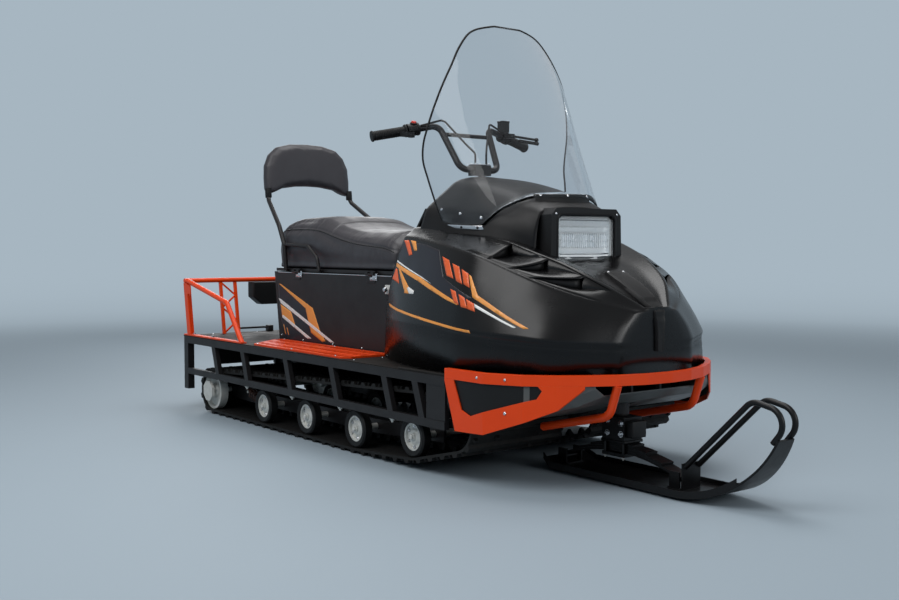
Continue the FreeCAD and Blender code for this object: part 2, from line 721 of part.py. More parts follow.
# the band alone runs on round the nose
NOSE_PLAN = ((2266.0, 175.0), (2292.0, 90.0), (2300.0, 0.0))
# station and height of the side plate's lower edge
SIDE_PLATE_FOOT = ((1832.0, 296.0), (1879.0, 155.0), (2000.0, 160.0), (2107.0, 201.0), (2172.0, 236.0),
                   (2220.0, 300.0))
SKID_Y = 175.0
SKID_R = 12.0


def inset_plan(plan, inset):
    """Plan moved inwards by an inset, square to each run."""
    moved = []
    for i, (x, y) in enumerate(plan):
        x0, y0 = plan[max(i - 1, 0)]
        x1, y1 = plan[min(i + 1, len(plan) - 1)]
        length = math.hypot(x1 - x0, y1 - y0)
        moved.append((x - inset * (y0 - y1) / length, y - inset * (x1 - x0) / length))
    return moved


def plan_strip(outer, thickness):
    """Closed outline of a strip that follows a plan on the right side."""
    inner = inset_plan(outer, thickness)
    return [(at(x), -y) for x, y in outer] + [(at(x), -y) for x, y in reversed(inner)]


def nose_plan():
    """Bumper plan from one truss head round the nose, right side only."""
    return list(BUMPER_PLAN + NOSE_PLAN)


def bumper():
    """Orange top band, folded side plates with windows and the nose's skid tubes."""
    band_half = plan_strip(nose_plan(), PLATE)
    band = prism_z(band_half, BUMPER_TOP - BAND_HEIGHT, BUMPER_TOP)
    lip = prism_z(plan_strip(inset_plan(nose_plan(), PLATE), 14.0), BUMPER_TOP - PLATE, BUMPER_TOP)
    half = band.fuse(lip)
    keep = box(at(1832), at(2400), -500, 0, 0, 500)
    half = half.common(keep)
    save("bumper_band", half.fuse(mirrored(half)).removeSplitter())

    strip = prism_z(plan_strip(BUMPER_PLAN, PLATE), 100.0, BUMPER_TOP - BAND_HEIGHT)
    side = [(at(x), z) for x, z in SIDE_PLATE_FOOT]
    side = side + [(at(2260), BUMPER_TOP), (at(1832), BUMPER_TOP)]
    plate = strip.common(prism_y(side, -500, -200))
    window = [(at(1872), 303.0), (at(1908), 219.0), (at(1946), 206.0), (at(2134), 268.0), (at(2144), 290.0),
              (at(2136), 303.0)]
    plate = plate.cut(prism_y(window, -500, -200))
    save("bumper_side_plates", *pair([plate]))

    points = [(at(1960), -SKID_Y, 152.0), (at(2226), -SKID_Y, 214.0), (at(2257), -SKID_Y, 304.0)]
    above = box(at(2200), at(2400), -SKID_Y - 20, -SKID_Y + 20, BUMPER_TOP - BAND_HEIGHT - CLEAR, 400)
    tube = bent_tube(points, SKID_R, 46.0).cut(above)
    save("skid_tubes", *pair([tube]))


# station, half-width, bottom height of the belly tray
BELLY = ((1950.0, 440.0, 176.0), (2000.0, 438.5, 186.0), (2107.0, 385.5, 218.0), (2182.0, 304.0, 242.0),
         (2228.0, 234.0, 272.0))
BELLY_TOP = 302.0


def tray(inset, drop, top):
    """Solid under the nose, through the belly's sections."""
    wires = []
    for station, half, bottom in BELLY:
        low_half = (half - inset) * 0.86
        y = half - inset
        z = bottom + drop
        corners = [(-y, top), (-y, z + 22), (-low_half, z), (low_half, z), (y, z + 22), (y, top)]
        points = [Vector(at(station), a, b) for a, b in corners]
        wires.append(Part.makePolygon(points + points[:1]))
    return Part.makeLoft(wires, True, True)


HOOD_LUG_Y = 66.0
HOOD_LUG = 12.0
HINGE_PIN_R = 5.0


def hood_hinge_posts():
    """Posts that stand in the belly tray, each with a pin for the hood."""
    x = at(HINGE_STATION)
    inner = -HOOD_LUG_Y + 2
    # back of the leg, its front, and the boss round the pin, as offsets from the pin
    profile = ((-30, -110), (-15, -110), (-15, -17), (5, -5), (7, 4), (0, 8), (-8, 7), (-30, -17))
    post = prism_y([(x + dx, HINGE_Z + dz) for dx, dz in profile], inner, inner + 8)
    post = post.common(tray(1.0, 1.0, HINGE_Z + 20))
    pin = cylinder((x, -HOOD_LUG_Y - HOOD_LUG - 2, HINGE_Z), (x, inner + 4, HINGE_Z), HINGE_PIN_R)
    return pair([post.fuse(pin)])


def belly():
    """Dark belly tray behind the bumper, with a hole for the steering head."""
    shell = tray(0.0, 0.0, BELLY_TOP).cut(tray(SHEET, SHEET, BELLY_TOP + 5))
    x = at(KINGPIN_STATION)
    opening = box(at(1800), x + HEAD_R + 8, -KEEL_HALF - 6, KEEL_HALF + 6, 100, 260)
    shell = shell.cut(opening)
    save("belly_tray", shell.fuse(hood_hinge_posts()))


# ---------------------------------------------------------------- hood
# station, then half-width and height of each edge, from the foot up to the centre
# columns: station, foot y, waist y, waist z, shoulder y, shoulder z, crest y, crest z, centre z
HOOD = (
    (1230.0, 262.0, 262.0, 450.0, 262.0, 716.0, 240.0, 735.0, 742.0),
    (1500.0, 380.0, 384.0, 452.0, 316.0, 712.0, 270.0, 745.0, 756.0),
    (1830.0, 426.0, 424.0, 445.0, 356.0, 664.0, 236.0, 706.0, 700.0),
    (1960.0, 408.0, 406.0, 437.0, 326.0, 618.0, 214.0, 668.0, 636.0),
    (2050.0, 380.0, 376.0, 432.0, 288.0, 580.0, 180.0, 634.0, 610.0),
    (2150.0, 312.0, 309.0, 424.0, 206.0, 536.0, 132.0, 580.0, 562.0),
    (2236.0, 158.0, 156.0, 414.0, 88.0, 500.0, 50.0, 512.0, 506.0),
)
HOOD_REAR_LEAN = 150.0     # how far the top of the rear edge lies ahead of its foot
HOOD_REAR_FOOT = 1284.0


def section(x, half, centre_z):
    """Closed wire across X, mirrored from the (half-width, height) corners of one side."""
    right = [Vector(x, -y, z) for y, z in half]
    left = [Vector(x, y, z) for y, z in reversed(half)]
    points = right + [Vector(x, 0, centre_z)] + left
    return Part.makePolygon(points + points[:1])


def hood_solid(inset, bottom):
    """Solid through the hood's sections, moved inwards by an inset."""
    wires = []
    for row in HOOD:
        station, foot, waist, waist_z, shoulder, shoulder_z, crest, crest_z, centre_z = row
        half = [(foot - inset, bottom), (waist - inset, waist_z), (shoulder - inset, shoulder_z - inset),
                (crest - inset, crest_z - inset)]
        x = at(station) - (inset if row is HOOD[-1] else 0.0)
        wires.append(section(x, half, centre_z - inset))
    return Part.makeLoft(wires, True, True)


# cowl sections: station, then half-width and height of foot, side, shoulder, and centre height
COWL = (
    (1478.0, 292.0, 700.0, 258.0, 806.0, 128.0, 905.0, 922.0),
    (1650.0, 290.0, 690.0, 252.0, 790.0, 140.0, 880.0, 898.0),
    (1830.0, 236.0, 660.0, 210.0, 764.0, 146.0, 828.0, 846.0),
    (1912.0, 172.0, 610.0, 166.0, 720.0, 152.0, 790.0, 804.0),
)


def cowl_solid(inset, drop):
    """Solid through the cowl's sections, with its foot run straight down by a drop."""
    wires = []
    for station, foot, foot_z, side, side_z, shoulder, shoulder_z, centre_z in COWL:
        half = [(foot - inset, foot_z - drop), (foot - inset, foot_z), (side - inset, side_z),
                (shoulder - inset * 0.6, shoulder_z - inset)]
        wires.append(section(at(station), half, centre_z - inset))
    return Part.makeLoft(wires, True, True)


def rear_cut():
    """Space behind the hood's leaning rear edge."""
    foot = at(HOOD_REAR_FOOT)
    return prism_y([(foot - 400, 0), (foot, HOOD_BOTTOM - 10), (foot + HOOD_REAR_LEAN, 716.0),
                    (foot + HOOD_REAR_LEAN + 40, 1000.0), (foot - 400, 1000.0)], -600, 600)


def hood_lugs():
    """Lugs inside the hood's nose, bored for the hinge pins."""
    x = at(HINGE_STATION)
    front = at(HOOD[-1][0]) - 1.0
    lug = box(x - 10, front, -HOOD_LUG_Y - HOOD_LUG, -HOOD_LUG_Y, HINGE_Z - 10, HINGE_Z + 10)
    bore = cylinder((x, -HOOD_LUG_Y - 20, HINGE_Z), (x, -HOOD_LUG_Y + 10, HINGE_Z), HINGE_PIN_R + CLEAR)
    return pair([lug.cut(bore)])


def lamp_outline(grow):
    """Front outline of the headlight's housing, grown by an amount."""
    return [(-150 - grow, 645), (-128, 628 - grow), (128, 628 - grow), (150 + grow, 645), (146 + grow, 780),
            (126, 800 + grow), (-126, 800 + grow), (-146 - grow, 780)]


def hood():
    """Hollow hood with stepped side vents, open underneath and at the rear."""
    outer = hood_solid(0.0, HOOD_BOTTOM)
    shell = outer.cut(hood_solid(HOOD_WALL, HOOD_BOTTOM - 20)).cut(rear_cut())
    shell = shell.cut(cowl_solid(-CLEAR, 160.0))
    shell = shell.cut(box(at(1200), at(1700), -232, 232, 600, 900))
    shell = shell.cut(prism_x(lamp_outline(CLEAR), at(1850), at(2100)))
    shell = max(shell.Solids, key=lambda solid: solid.Volume)
    save("hood_shell", shell.fuse(hood_lugs()))

    cowl = cowl_solid(0.0, 10.0).cut(cowl_solid(HOOD_WALL, 160.0))
    cowl = cowl.cut(box(at(1900), at(2000), -152, 152, 500, 900))
    save("upper_cowl", cowl)


# ---------------------------------------------------------------- headlight
LAMP_REAR = 1900.0
LAMP_BOWL = 1924.0         # how far back the housing is hollow
LAMP_FRONT = 1958.0
LENS_DEPTH = 12.0          # how far the lens's rear face lies behind the rim
LENS_THICK = 5.0
# half-width and height of the housing's opening, right side, from the foot up
LAMP_OPENING = ((104.0, 640.0), (120.0, 652.0), (118.0, 766.0), (102.0, 778.0))


def headlight():
    """Square headlight: black housing and its glass."""
    left = list(LAMP_OPENING)
    opening = left + [(-y, z) for y, z in reversed(left)]
    bowl = prism_x(opening, at(LAMP_BOWL), at(LAMP_FRONT) + 1)
    housing = prism_x(lamp_outline(0.0), at(LAMP_REAR) + CLEAR, at(LAMP_FRONT)).cut(bowl)
    save("headlight_housing", housing)
    middle = (LAMP_OPENING[0][1] + LAMP_OPENING[-1][1]) / 2.0
    glass = [(y * 0.997, middle + (z - middle) * 0.994) for y, z in opening]
    rear = at(LAMP_FRONT - LENS_DEPTH)
    save("headlight_lens", prism_x(glass, rear, rear + LENS_THICK))


# ---------------------------------------------------------------- windshield
# station of the centre, height and radius of the rings that the sheet is wrapped round
SHIELD_RINGS = ((1620.0, 788.0, 279.0), (1542.0, 900.0, 301.0), (1469.0, 1010.0, 319.0),
                (1410.0, 1120.0, 331.0), (1342.0, 1248.0, 340.0), (1206.0, 1440.0, 354.7))
# station and height of the sheet's rear edge, from the foot up
SHIELD_EDGE = ((1575.0, 780.0), (1561.0, 850.0), (1548.0, 900.0), (1534.0, 950.0), (1533.0, 970.0),
               (1539.0, 1010.0), (1554.0, 1067.0), (1568.0, 1120.0), (1577.0, 1180.0), (1585.0, 1248.0),
               (1585.0, 1450.0))
SHIELD_THICK = 4.0
BEAD = 1.6                 # how far the bead stands out of the sheet on each side
BEAD_GRIP = 4.4            # how far the bead reaches over the sheet's edge


def cone(extra):
    """Solid through the shield's rings, grown by an amount."""
    rings = []
    for station, z, radius in SHIELD_RINGS:
        circle = Part.makeCircle(radius + extra, Vector(at(station), 0, z))
        rings.append(Part.Wire(circle))
    return Part.makeLoft(rings, True, True)


def ahead_of_edge(shift):
    """Block ahead of the shield's rear edge, moved forward by a shift."""
    edge = [(at(station) + shift, z) for station, z in SHIELD_EDGE]
    return prism_y(edge + [(at(2100), SHIELD_EDGE[-1][1]), (at(2100), SHIELD_EDGE[0][1])], -500, 500)


def windshield():
    """Wrapped clear shield with an edge bead."""
    lamp_space = box(at(LAMP_REAR - 20), at(LAMP_FRONT + 30), -160, 160, 600, 800 + CLEAR)
    cowl_space = cowl_solid(-CLEAR, 10.0).fuse(lamp_space)
    shell = cone(0.0).cut(cone(-SHIELD_THICK))
    sheet = shell.common(ahead_of_edge(BEAD)).cut(cowl_space)
    save("windshield", max(sheet.Solids, key=lambda solid: solid.Volume))

    thick = cone(BEAD).cut(cone(-SHIELD_THICK - BEAD))
    bead = thick.common(ahead_of_edge(0.0)).cut(ahead_of_edge(BEAD + BEAD_GRIP))
    groove = cone(CLEAR).cut(cone(-SHIELD_THICK - CLEAR)).common(ahead_of_edge(BEAD - CLEAR))
    bead = bead.cut(groove).cut(cowl_space)
    save("windshield_edge_bead", max(bead.Solids, key=lambda solid: solid.Volume))


# ---------------------------------------------------------------- handlebar
def column_point(along, aside=0.0):
    """Point on the steering axis, a distance up it from the clamp."""
    rake = math.radians(COLUMN_RAKE)
    return (at(COLUMN_STATION) - along * math.sin(rake), aside, COLUMN_TOP_Z + along * math.cos(rake))


GRIP_R = 16.0
GRIP_LENGTH = 122.0
CLAMP_RISE = 16.0
CABLE_R = 3.5
CABLE_OFFSET = 16.0


def bar_points():
    """Right half of the handlebar's centre line, from the clamp to the grip's end."""
    return [(at(COLUMN_STATION), 0.0, COLUMN_TOP_Z), (at(COLUMN_STATION), -82.0, COLUMN_TOP_Z),
            (at(1350), -108.0, 1097.0), (at(1287), -338.0, 1051.0)]


def handlebar():
    """High-rise bar with crossbar, grips, switchgear, levers and column."""
    right = bent_tube(bar_points(), BAR_R, 32.0)
    bar = right.fuse(mirrored(right))
    cross = cylinder((at(1368), -103, 1066), (at(1368), 103, 1066), 7.0)
    bar = bar.fuse(cross).removeSplitter()
    save("handlebar", bar)

    points = bar_points()
    end = Vector(*points[3])
    inward = (Vector(*points[2]) - end).normalize()
    start = end + inward * GRIP_LENGTH
    grip = Part.makeCylinder(GRIP_R, GRIP_LENGTH + 3, end - inward * 3, inward)
    flange = Part.makeCylinder(GRIP_R + 6, 5, start - inward * 5, inward)
    tip = Part.makeCylinder(GRIP_R + 3, 5, end - inward * 3, inward)
    bore = Part.makeCylinder(BAR_R + CLEAR, GRIP_LENGTH + 4, end, inward)
    grip = grip.fuse([flange, tip]).cut(bore)
    save("grips", *pair([grip]))

    def on_bar(distance):
        return end + inward * distance

    house = Part.makeCylinder(21.0, 42.0, on_bar(GRIP_LENGTH + 4), inward)
    paddle_at = on_bar(GRIP_LENGTH - 4)
    paddle = box(-4, 4, -40, 6, -9, 9).fuse(box(-14, 4, 2, 16, -9, 9))
    paddle.translate(paddle_at + Vector(27.0, 3.4, -14.0))
    left_end = Vector(end.x, -end.y, end.z)
    left_in = Vector(inward.x, -inward.y, inward.z)
    clamp = Part.makeCylinder(19.0, 30.0, left_end + left_in * (GRIP_LENGTH + 6), left_in)
    clamp = clamp.cut(Part.makeCylinder(BAR_R + CLEAR, 60.0, left_end + left_in * GRIP_LENGTH, left_in))
    middle = left_end + left_in * (GRIP_LENGTH + 21)
    reservoir = box(-14, 14, -16, 16, 0, 34)
    reservoir.translate(middle + Vector(2, 0, 16))
    perch = box(0, 34, -12, 12, -8, 8)
    perch.translate(middle + Vector(17, 0, 0))
    perch = clamp.fuse([reservoir, perch]).cut(
        Part.makeCylinder(BAR_R + CLEAR, 60.0, left_end + left_in * GRIP_LENGTH, left_in))
    pivot = middle + Vector(45, 9, 0)
    lever_end = pivot + Vector(10, 104, -8)
    lever = Part.makeCylinder(4.5, (lever_end - pivot).Length, pivot, lever_end - pivot)
    ball = Part.makeSphere(8.0, lever_end)
    house = house.fuse(paddle).cut(Part.makeCylinder(BAR_R + CLEAR, 60.0, on_bar(GRIP_LENGTH), inward))
    save("control_housings", house, perch.fuse([lever, ball]))

    # each cable leaves its housing beside the bar and ends on top of the clamp
    beside = Vector(CABLE_OFFSET * 0.8, 0, CABLE_OFFSET * 0.6)
    clamp_top = COLUMN_TOP_Z + CLAMP_RISE + CLEAR
    cables = []
    for hand, leave in ((-1, GRIP_LENGTH + 46), (1, GRIP_LENGTH + 39)):
        start = on_bar(leave + CLEAR) + beside
        turn = Vector(*points[2]) + beside + Vector(6, 6, 8)
        x = at(COLUMN_STATION) + 6
        drop = [Vector(x - 22, -44, 1028), Vector(x, -24, 1000), Vector(x, -24, clamp_top)]
        line = [(point.x, -hand * point.y, point.z) for point in [start, turn] + drop]
        cables.append(bent_tube(line, CABLE_R, 20.0))
    save("control_cables", *cables)

    low = Vector(*column_point(-640))
    top = Vector(*column_point(-BAR_R - CLEAR))
    axis = (top - low).normalize()
    column = Part.makeCylinder(COLUMN_R, (top - low).Length, low, axis)
    saddle = box(-20, 20, -34, 34, -20, CLAMP_RISE)
    saddle.translate(Vector(at(COLUMN_STATION), 0, COLUMN_TOP_Z))
    x = at(COLUMN_STATION)
    bar_space = cylinder((x, -60, COLUMN_TOP_Z), (x, 60, COLUMN_TOP_Z), BAR_R + CLEAR)
    save("steering_column", column.fuse(saddle).cut(bar_space))


# ---------------------------------------------------------------- dash, engine
def inner_parts():
    """Fixed dash panel below the bars, column bearings and the engine as a plain block."""
    low = Vector(*column_point(-640))
    axis = (Vector(*column_point(0)) - low).normalize()
    bore = Part.makeCylinder(COLUMN_R + RUN, 900, low - axis * 30, axis)
    foot_z = TRUSS_TOP + SHEET
    profile = [(at(1262), foot_z), (at(1268), foot_z), (at(1268), 600.0),
               (at(1440), 806.0), (at(1434), 810.0), (at(1262), 603.0)]
    panel = prism_y(profile, -226, 226)
    panel = panel.cut(Part.makeCylinder(COLUMN_R + 8.0, 900, low - axis * 30, axis))
    save("dash_panel", panel)
    foot = box(low.x - 44, low.x + 40, -30, 30, foot_z, 392.0)
    save("column_bearing", foot.cut(bore))
    save("engine_block", box(at(1764), at(2006), -165, 165, foot_z, 548.0))


# ---------------------------------------------------------------- ski
SKI_HALF = 100.0
SKI_SKIN = 6.0
RUNNER = 8.0


def side_band(thickness, lift):
    """Side profile of the ski's skin as a face in the XZ plane: flat, then turned up."""
    z0 = RUNNER + lift
    flat_start = at(1905)
    flat_end = at(2400)
    radius = 300.0
    centre = Vector(flat_end, 0, z0 + radius)
    sweep = math.radians(67.5)
    def ring(r, angle):
        return Vector(centre.x + r * math.sin(angle), 0, centre.z - r * math.cos(angle))
    inner = radius - thickness
    rear_low = Vector(at(1865), 0, z0 + 22)
    rear_high = Vector(at(1863), 0, z0 + 22 + thickness)
    edges = [
        Part.LineSegment(rear_low, Vector(flat_start, 0, z0)).toShape(),
        Part.LineSegment(Vector(flat_start, 0, z0), ring(radius, 0)).toShape(),
        Part.Arc(ring(radius, 0), ring(radius, sweep / 2), ring(radius, sweep)).toShape(),
        Part.LineSegment(ring(radius, sweep), ring(inner, sweep)).toShape(),
        Part.Arc(ring(inner, sweep), ring(inner, sweep / 2), ring(inner, 0)).toShape(),
        Part.LineSegment(ring(inner, 0), Vector(flat_start, 0, z0 + thickness)).toShape(),
        Part.LineSegment(Vector(flat_start, 0, z0 + thickness), rear_high).toShape(),
        Part.LineSegment(rear_high, rear_low).toShape(),
    ]
    face = Part.Face(Part.Wire(edges))
    return face.extrude(Vector(0, 400, 0)).translated(Vector(0, -200, 0))


def ski_plan(inset):
    """Plan of the ski, tapered at the turned-up front."""
    half = SKI_HALF - inset
    right = [(at(1850), -half * 0.86), (at(1900), -half), (at(2400), -half), (at(2520), -half * 0.78),
             (at(2610), -half * 0.52), (at(2700), -half * 0.26)]
    return right + [(x, -y) for x, y in reversed(right)]


SPRING_CENTRE = 2114.0
SPRING_WIDTH = 50.0
LEAF = 7.0
LEAVES = (232.0, 170.0, 110.0, 60.0)    # half-lengths, longest leaf first
SPRING_TOP = 82.0
SPRING_RADIUS = 640.0


RISER_TOP = 88.0            # plate on the front bracket that carries the loop's rods


def spring_brackets():
    """Cheek brackets with pins that hold the two ends of the longest leaf."""
    x = at(SPRING_CENTRE)
    z0 = RUNNER + SKI_SKIN
    end_z = SPRING_TOP - SPRING_RADIUS + math.sqrt(SPRING_RADIUS ** 2 - (LEAVES[0] - 8) ** 2)
    brackets = []
    for hand in (-1, 1):
        cx = x + hand * (LEAVES[0] - 8)
        web = box(cx - 24, cx + 24, -34, 34, z0 - 1, z0 + 4)
        cheeks = [box(cx - 18, cx + 18, side, side + 5, z0, end_z + 20) for side in (-34.0, 29.0)]
        slope = math.asin((LEAVES[0] - 8) / SPRING_RADIUS)
        pin_z = end_z - (6.0 + CLEAR) / math.cos(slope)
        pin = cylinder((cx, -30, pin_z), (cx, 30, pin_z), 6.0)
        brackets.extend([web, pin] + cheeks)
    front = x + LEAVES[0] + 20
    brackets.append(box(front, front + 6, -37, 37, z0 - 1, RISER_TOP))
    return brackets


def ski():
    """Ski with upturned edges, keel runner and a double-rod front loop."""
    skin = side_band(SKI_SKIN, 0.0).common(prism_z(ski_plan(0.0), -10, 400))
    rim = prism_z(ski_plan(0.0), -10, 400).cut(prism_z(ski_plan(4.0), -20, 410))
    edge = side_band(20.0, 0.0).common(rim).common(box(at(1800), at(2570), -200, 200, -10, 400))
    runner = box(at(1960), at(2400), -7, 7, 0, RUNNER)
    save("ski", skin.fuse([edge, runner] + spring_brackets()).removeSplitter())

    start = at(SPRING_CENTRE) + LEAVES[0] + 26 + CLEAR
    points = [(start, 78.0), (at(2590), 287.0), (at(2717.0), 262.0), (at(2655.5), 184.0)]
    rods = bent_tube([(x, -28.0, z) for x, z in points], 8.0, 44.0)
    rods = rods.cut(box(start - 60, start, -60, 60, 40, 120)).cut(side_band(SKI_SKIN + CLEAR, 0.0))
    rods = max(rods.Solids, key=lambda solid: solid.Volume)
    save("ski_loop_rods", *pair([rods]))


def arc_strip(centre, radius, half_length, thickness, width):
    """Arched leaf with its middle uppermost."""
    x, z = centre
    angle = math.asin(half_length / radius)
    def ring(r, a):
        return Vector(x + r * math.sin(a), -width / 2.0, z + r * math.cos(a))
    outer = radius + thickness
    edges = [
        Part.Arc(ring(radius, -angle), ring(radius, 0), ring(radius, angle)).toShape(),
        Part.LineSegment(ring(radius, angle), ring(outer, angle)).toShape(),
        Part.Arc(ring(outer, angle), ring(outer, 0), ring(outer, -angle)).toShape(),
        Part.LineSegment(ring(outer, -angle), ring(radius, -angle)).toShape(),
    ]
    return Part.Face(Part.Wire(edges)).extrude(Vector(0, width, 0))


def ski_spring():
    """Multi-leaf spring on two ski brackets, with the spindle's clamp block on top."""
    x = at(SPRING_CENTRE)
    centre = (x, SPRING_TOP - SPRING_RADIUS)
    leaves = []
    for i, half in enumerate(LEAVES):
        radius = SPRING_RADIUS + i * (LEAF + CLEAR)
        leaves.append(arc_strip(centre, radius, half, LEAF, SPRING_WIDTH))
    save("spring_leaves", *leaves)

    top = SPRING_TOP + 4 * LEAF + 3 * CLEAR + CLEAR
    kx = at(KINGPIN_STATION)
    block = box(kx - 36, kx + 52, -38, 38, top, HEAD_BOTTOM - 6)
    low = box(kx - 36, kx + 52, -38, 38, SPRING_TOP - 12, SPRING_TOP - 2)
    bolts = [cylinder((kx + dx, dy, SPRING_TOP - 12), (kx + dx, dy, top + 4), 5.0)
             for dx in (-28, 44) for dy in (-32, 32)]
    pin = cylinder((kx, 0, HEAD_BOTTOM - 10), (kx, 0, HEAD_TOP + 6), KINGPIN_R)
    save("ski_spindle", block.fuse([low, pin] + bolts))


for build in (side_trusses, frame, tracks, road_wheels, rear_idlers, carriers, drive, deck, step_grates,
              seat_box, seat, backrest, rear_rack, tail, bumper, belly, hood, headlight,
              windshield, handlebar, inner_parts, ski, ski_spring):
    build()
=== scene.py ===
"""Looks of a utility snowmobile with one front ski and twin tracks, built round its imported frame.

Sizes in the tables are millimetres; a station is a distance along X from the tail.
Meshes are in metres, +X forward, +Y to the rider's left, +Z up.
"""

import json
import logging
import math
from collections.abc import Callable, Sequence
from dataclasses import dataclass, field
from enum import Enum
from typing import ClassVar

import bmesh
import bpy
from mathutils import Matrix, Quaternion, Vector
from mathutils.bvhtree import BVHTree

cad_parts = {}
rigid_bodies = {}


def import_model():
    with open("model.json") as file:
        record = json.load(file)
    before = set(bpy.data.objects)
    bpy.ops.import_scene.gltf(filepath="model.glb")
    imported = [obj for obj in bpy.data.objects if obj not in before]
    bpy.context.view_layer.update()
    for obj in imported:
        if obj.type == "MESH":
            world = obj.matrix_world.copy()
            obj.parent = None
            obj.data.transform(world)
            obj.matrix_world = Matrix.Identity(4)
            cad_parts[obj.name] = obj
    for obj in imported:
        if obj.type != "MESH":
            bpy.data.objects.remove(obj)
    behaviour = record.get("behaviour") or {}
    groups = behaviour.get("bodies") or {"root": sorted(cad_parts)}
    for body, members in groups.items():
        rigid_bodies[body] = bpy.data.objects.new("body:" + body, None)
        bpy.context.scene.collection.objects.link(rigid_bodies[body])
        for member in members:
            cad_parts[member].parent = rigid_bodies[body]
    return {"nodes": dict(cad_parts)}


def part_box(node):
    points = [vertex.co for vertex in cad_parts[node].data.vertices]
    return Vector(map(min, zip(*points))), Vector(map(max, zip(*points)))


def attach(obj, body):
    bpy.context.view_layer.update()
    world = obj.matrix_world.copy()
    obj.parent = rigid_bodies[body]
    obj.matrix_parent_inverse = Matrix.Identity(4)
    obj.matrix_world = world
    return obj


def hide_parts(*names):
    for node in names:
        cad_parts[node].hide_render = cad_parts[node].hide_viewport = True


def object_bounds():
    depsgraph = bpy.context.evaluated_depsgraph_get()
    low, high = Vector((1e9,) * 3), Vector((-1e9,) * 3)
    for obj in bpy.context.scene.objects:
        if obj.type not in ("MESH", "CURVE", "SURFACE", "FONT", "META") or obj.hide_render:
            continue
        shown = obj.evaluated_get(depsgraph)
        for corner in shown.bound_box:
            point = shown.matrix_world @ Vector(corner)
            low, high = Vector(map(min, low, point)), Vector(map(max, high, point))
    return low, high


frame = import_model()
CAD_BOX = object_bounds()
LOG = logging.getLogger("snowmobile")
MM = 0.001
Point = Sequence[float]
Piece = bpy.types.Object
Ring = list[Vector]
NODES: dict[str, Piece] = frame["nodes"]
SHELL_REACH = 0.48  # most of a side that a rounded corner takes up


# ---------------------------------------------------------------- places and small helpers
def at(station: float) -> float:
    """Gives the X in metres of a station in millimetres."""
    return CAD_BOX[0].x + station * MM


def station_of(place: Vector) -> float:
    """Gives the station in millimetres of a place."""
    return (place.x - CAD_BOX[0].x) / MM


def spot(station: float, y: float, z: float) -> Vector:
    """Gives the place in metres of a station, a distance to the left and a height."""
    return Vector((at(station), y * MM, z * MM))


def lerp(a: float, b: float, share: float) -> float:
    """Gives the value a share of the way from a to b."""
    return a + (b - a) * share


def linear(code: str) -> tuple[float, float, float, float]:
    """Turns an sRGB hex value into a linear colour.

    Args:
        code: six hex digits after a hash sign.

    Returns:
        Red, green, blue and alpha, as a shader socket takes them.
    """
    values = [int(code[i:i + 2], 16) / 255.0 for i in (1, 3, 5)]
    return tuple(v / 12.92 if v <= 0.04045 else ((v + 0.055) / 1.055) ** 2.4 for v in values) + (1.0,)


def smooth_row(rows: Sequence[Sequence[float]], station: float) -> list[float]:
    """Interpolates a table of sections smoothly at a station.

    Args:
        rows: sections, each with its station first, in rising order.
        station: where to read the table.

    Returns:
        The values after the station, from a Catmull-Rom curve through the rows.
    """
    last = len(rows) - 1
    i = max(0, min(last - 1, sum(1 for row in rows if row[0] <= station) - 1))
    before, a, b, after = rows[max(i - 1, 0)], rows[i], rows[i + 1], rows[min(i + 2, last)]
    span = b[0] - a[0]
    t = max(0.0, min(1.0, (station - a[0]) / span))
    values = []
    for k in range(1, len(a)):
        slope_a = (b[k] - before[k]) / (b[0] - before[0]) * span
        slope_b = (after[k] - a[k]) / (after[0] - a[0]) * span
        t2, t3 = t * t, t * t * t
        values.append((2 * t3 - 3 * t2 + 1) * a[k] + (t3 - 2 * t2 + t) * slope_a
                      + (3 * t2 - 2 * t3) * b[k] + (t3 - t2) * slope_b)
    return values


# ---------------------------------------------------------------- node trees
def feed(tree: bpy.types.NodeTree, node: bpy.types.Node, inputs: dict) -> None:
    """Sets a node's inputs to values, or links them to output sockets."""
    for key, value in inputs.items():
        if isinstance(value, bpy.types.NodeSocket):
            tree.links.new(value, node.inputs[key])
        else:
            node.inputs[key].default_value = value


def add_node(tree: bpy.types.NodeTree, kind: str, inputs: dict | None = None, **settings: object) -> bpy.types.Node:
    """Adds one node with its settings, values and links.

    Args:
        tree: the tree that gets the node.
        kind: the node's type name.
        inputs: for a socket's name or number, a value or the output socket to link from.
        settings: attributes of the node.

    Returns:
        The new node.
    """
    made = tree.nodes.new(kind)
    for name, value in settings.items():
        setattr(made, name, value)
    feed(tree, made, inputs or {})
    return made


def new_material(name: str) -> tuple[bpy.types.Material, bpy.types.NodeTree, bpy.types.Node, bpy.types.NodeSocket]:
    """Starts a node material.

    Args:
        name: its name.

    Returns:
        The material, its tree, its main shader and the socket with object coordinates in metres.
    """
    made = bpy.data.materials.new(name)
    made.use_nodes = True
    tree = made.node_tree
    return made, tree, tree.nodes["Principled BSDF"], add_node(tree, "ShaderNodeTexCoord").outputs["Object"]


def blend(tree: bpy.types.NodeTree, share: bpy.types.NodeSocket, first: bpy.types.Node,
          second: bpy.types.Node) -> None:
    """Mixes two shaders into the material's surface."""
    mix = add_node(tree, "ShaderNodeMixShader", {0: share, 1: first.outputs[0], 2: second.outputs[0]})
    feed(tree, tree.nodes["Material Output"], {"Surface": mix.outputs[0]})


def seen_by(tree: bpy.types.NodeTree, *rays: str) -> bpy.types.NodeSocket:
    """Adds the test that a ray is of one of the named kinds."""
    kinds = add_node(tree, "ShaderNodeLightPath").outputs
    share = kinds[rays[0]]
    for ray in rays[1:]:
        share = add_node(tree, "ShaderNodeMath", {0: share, 1: kinds[ray]}, operation="MAXIMUM").outputs[0]
    return share


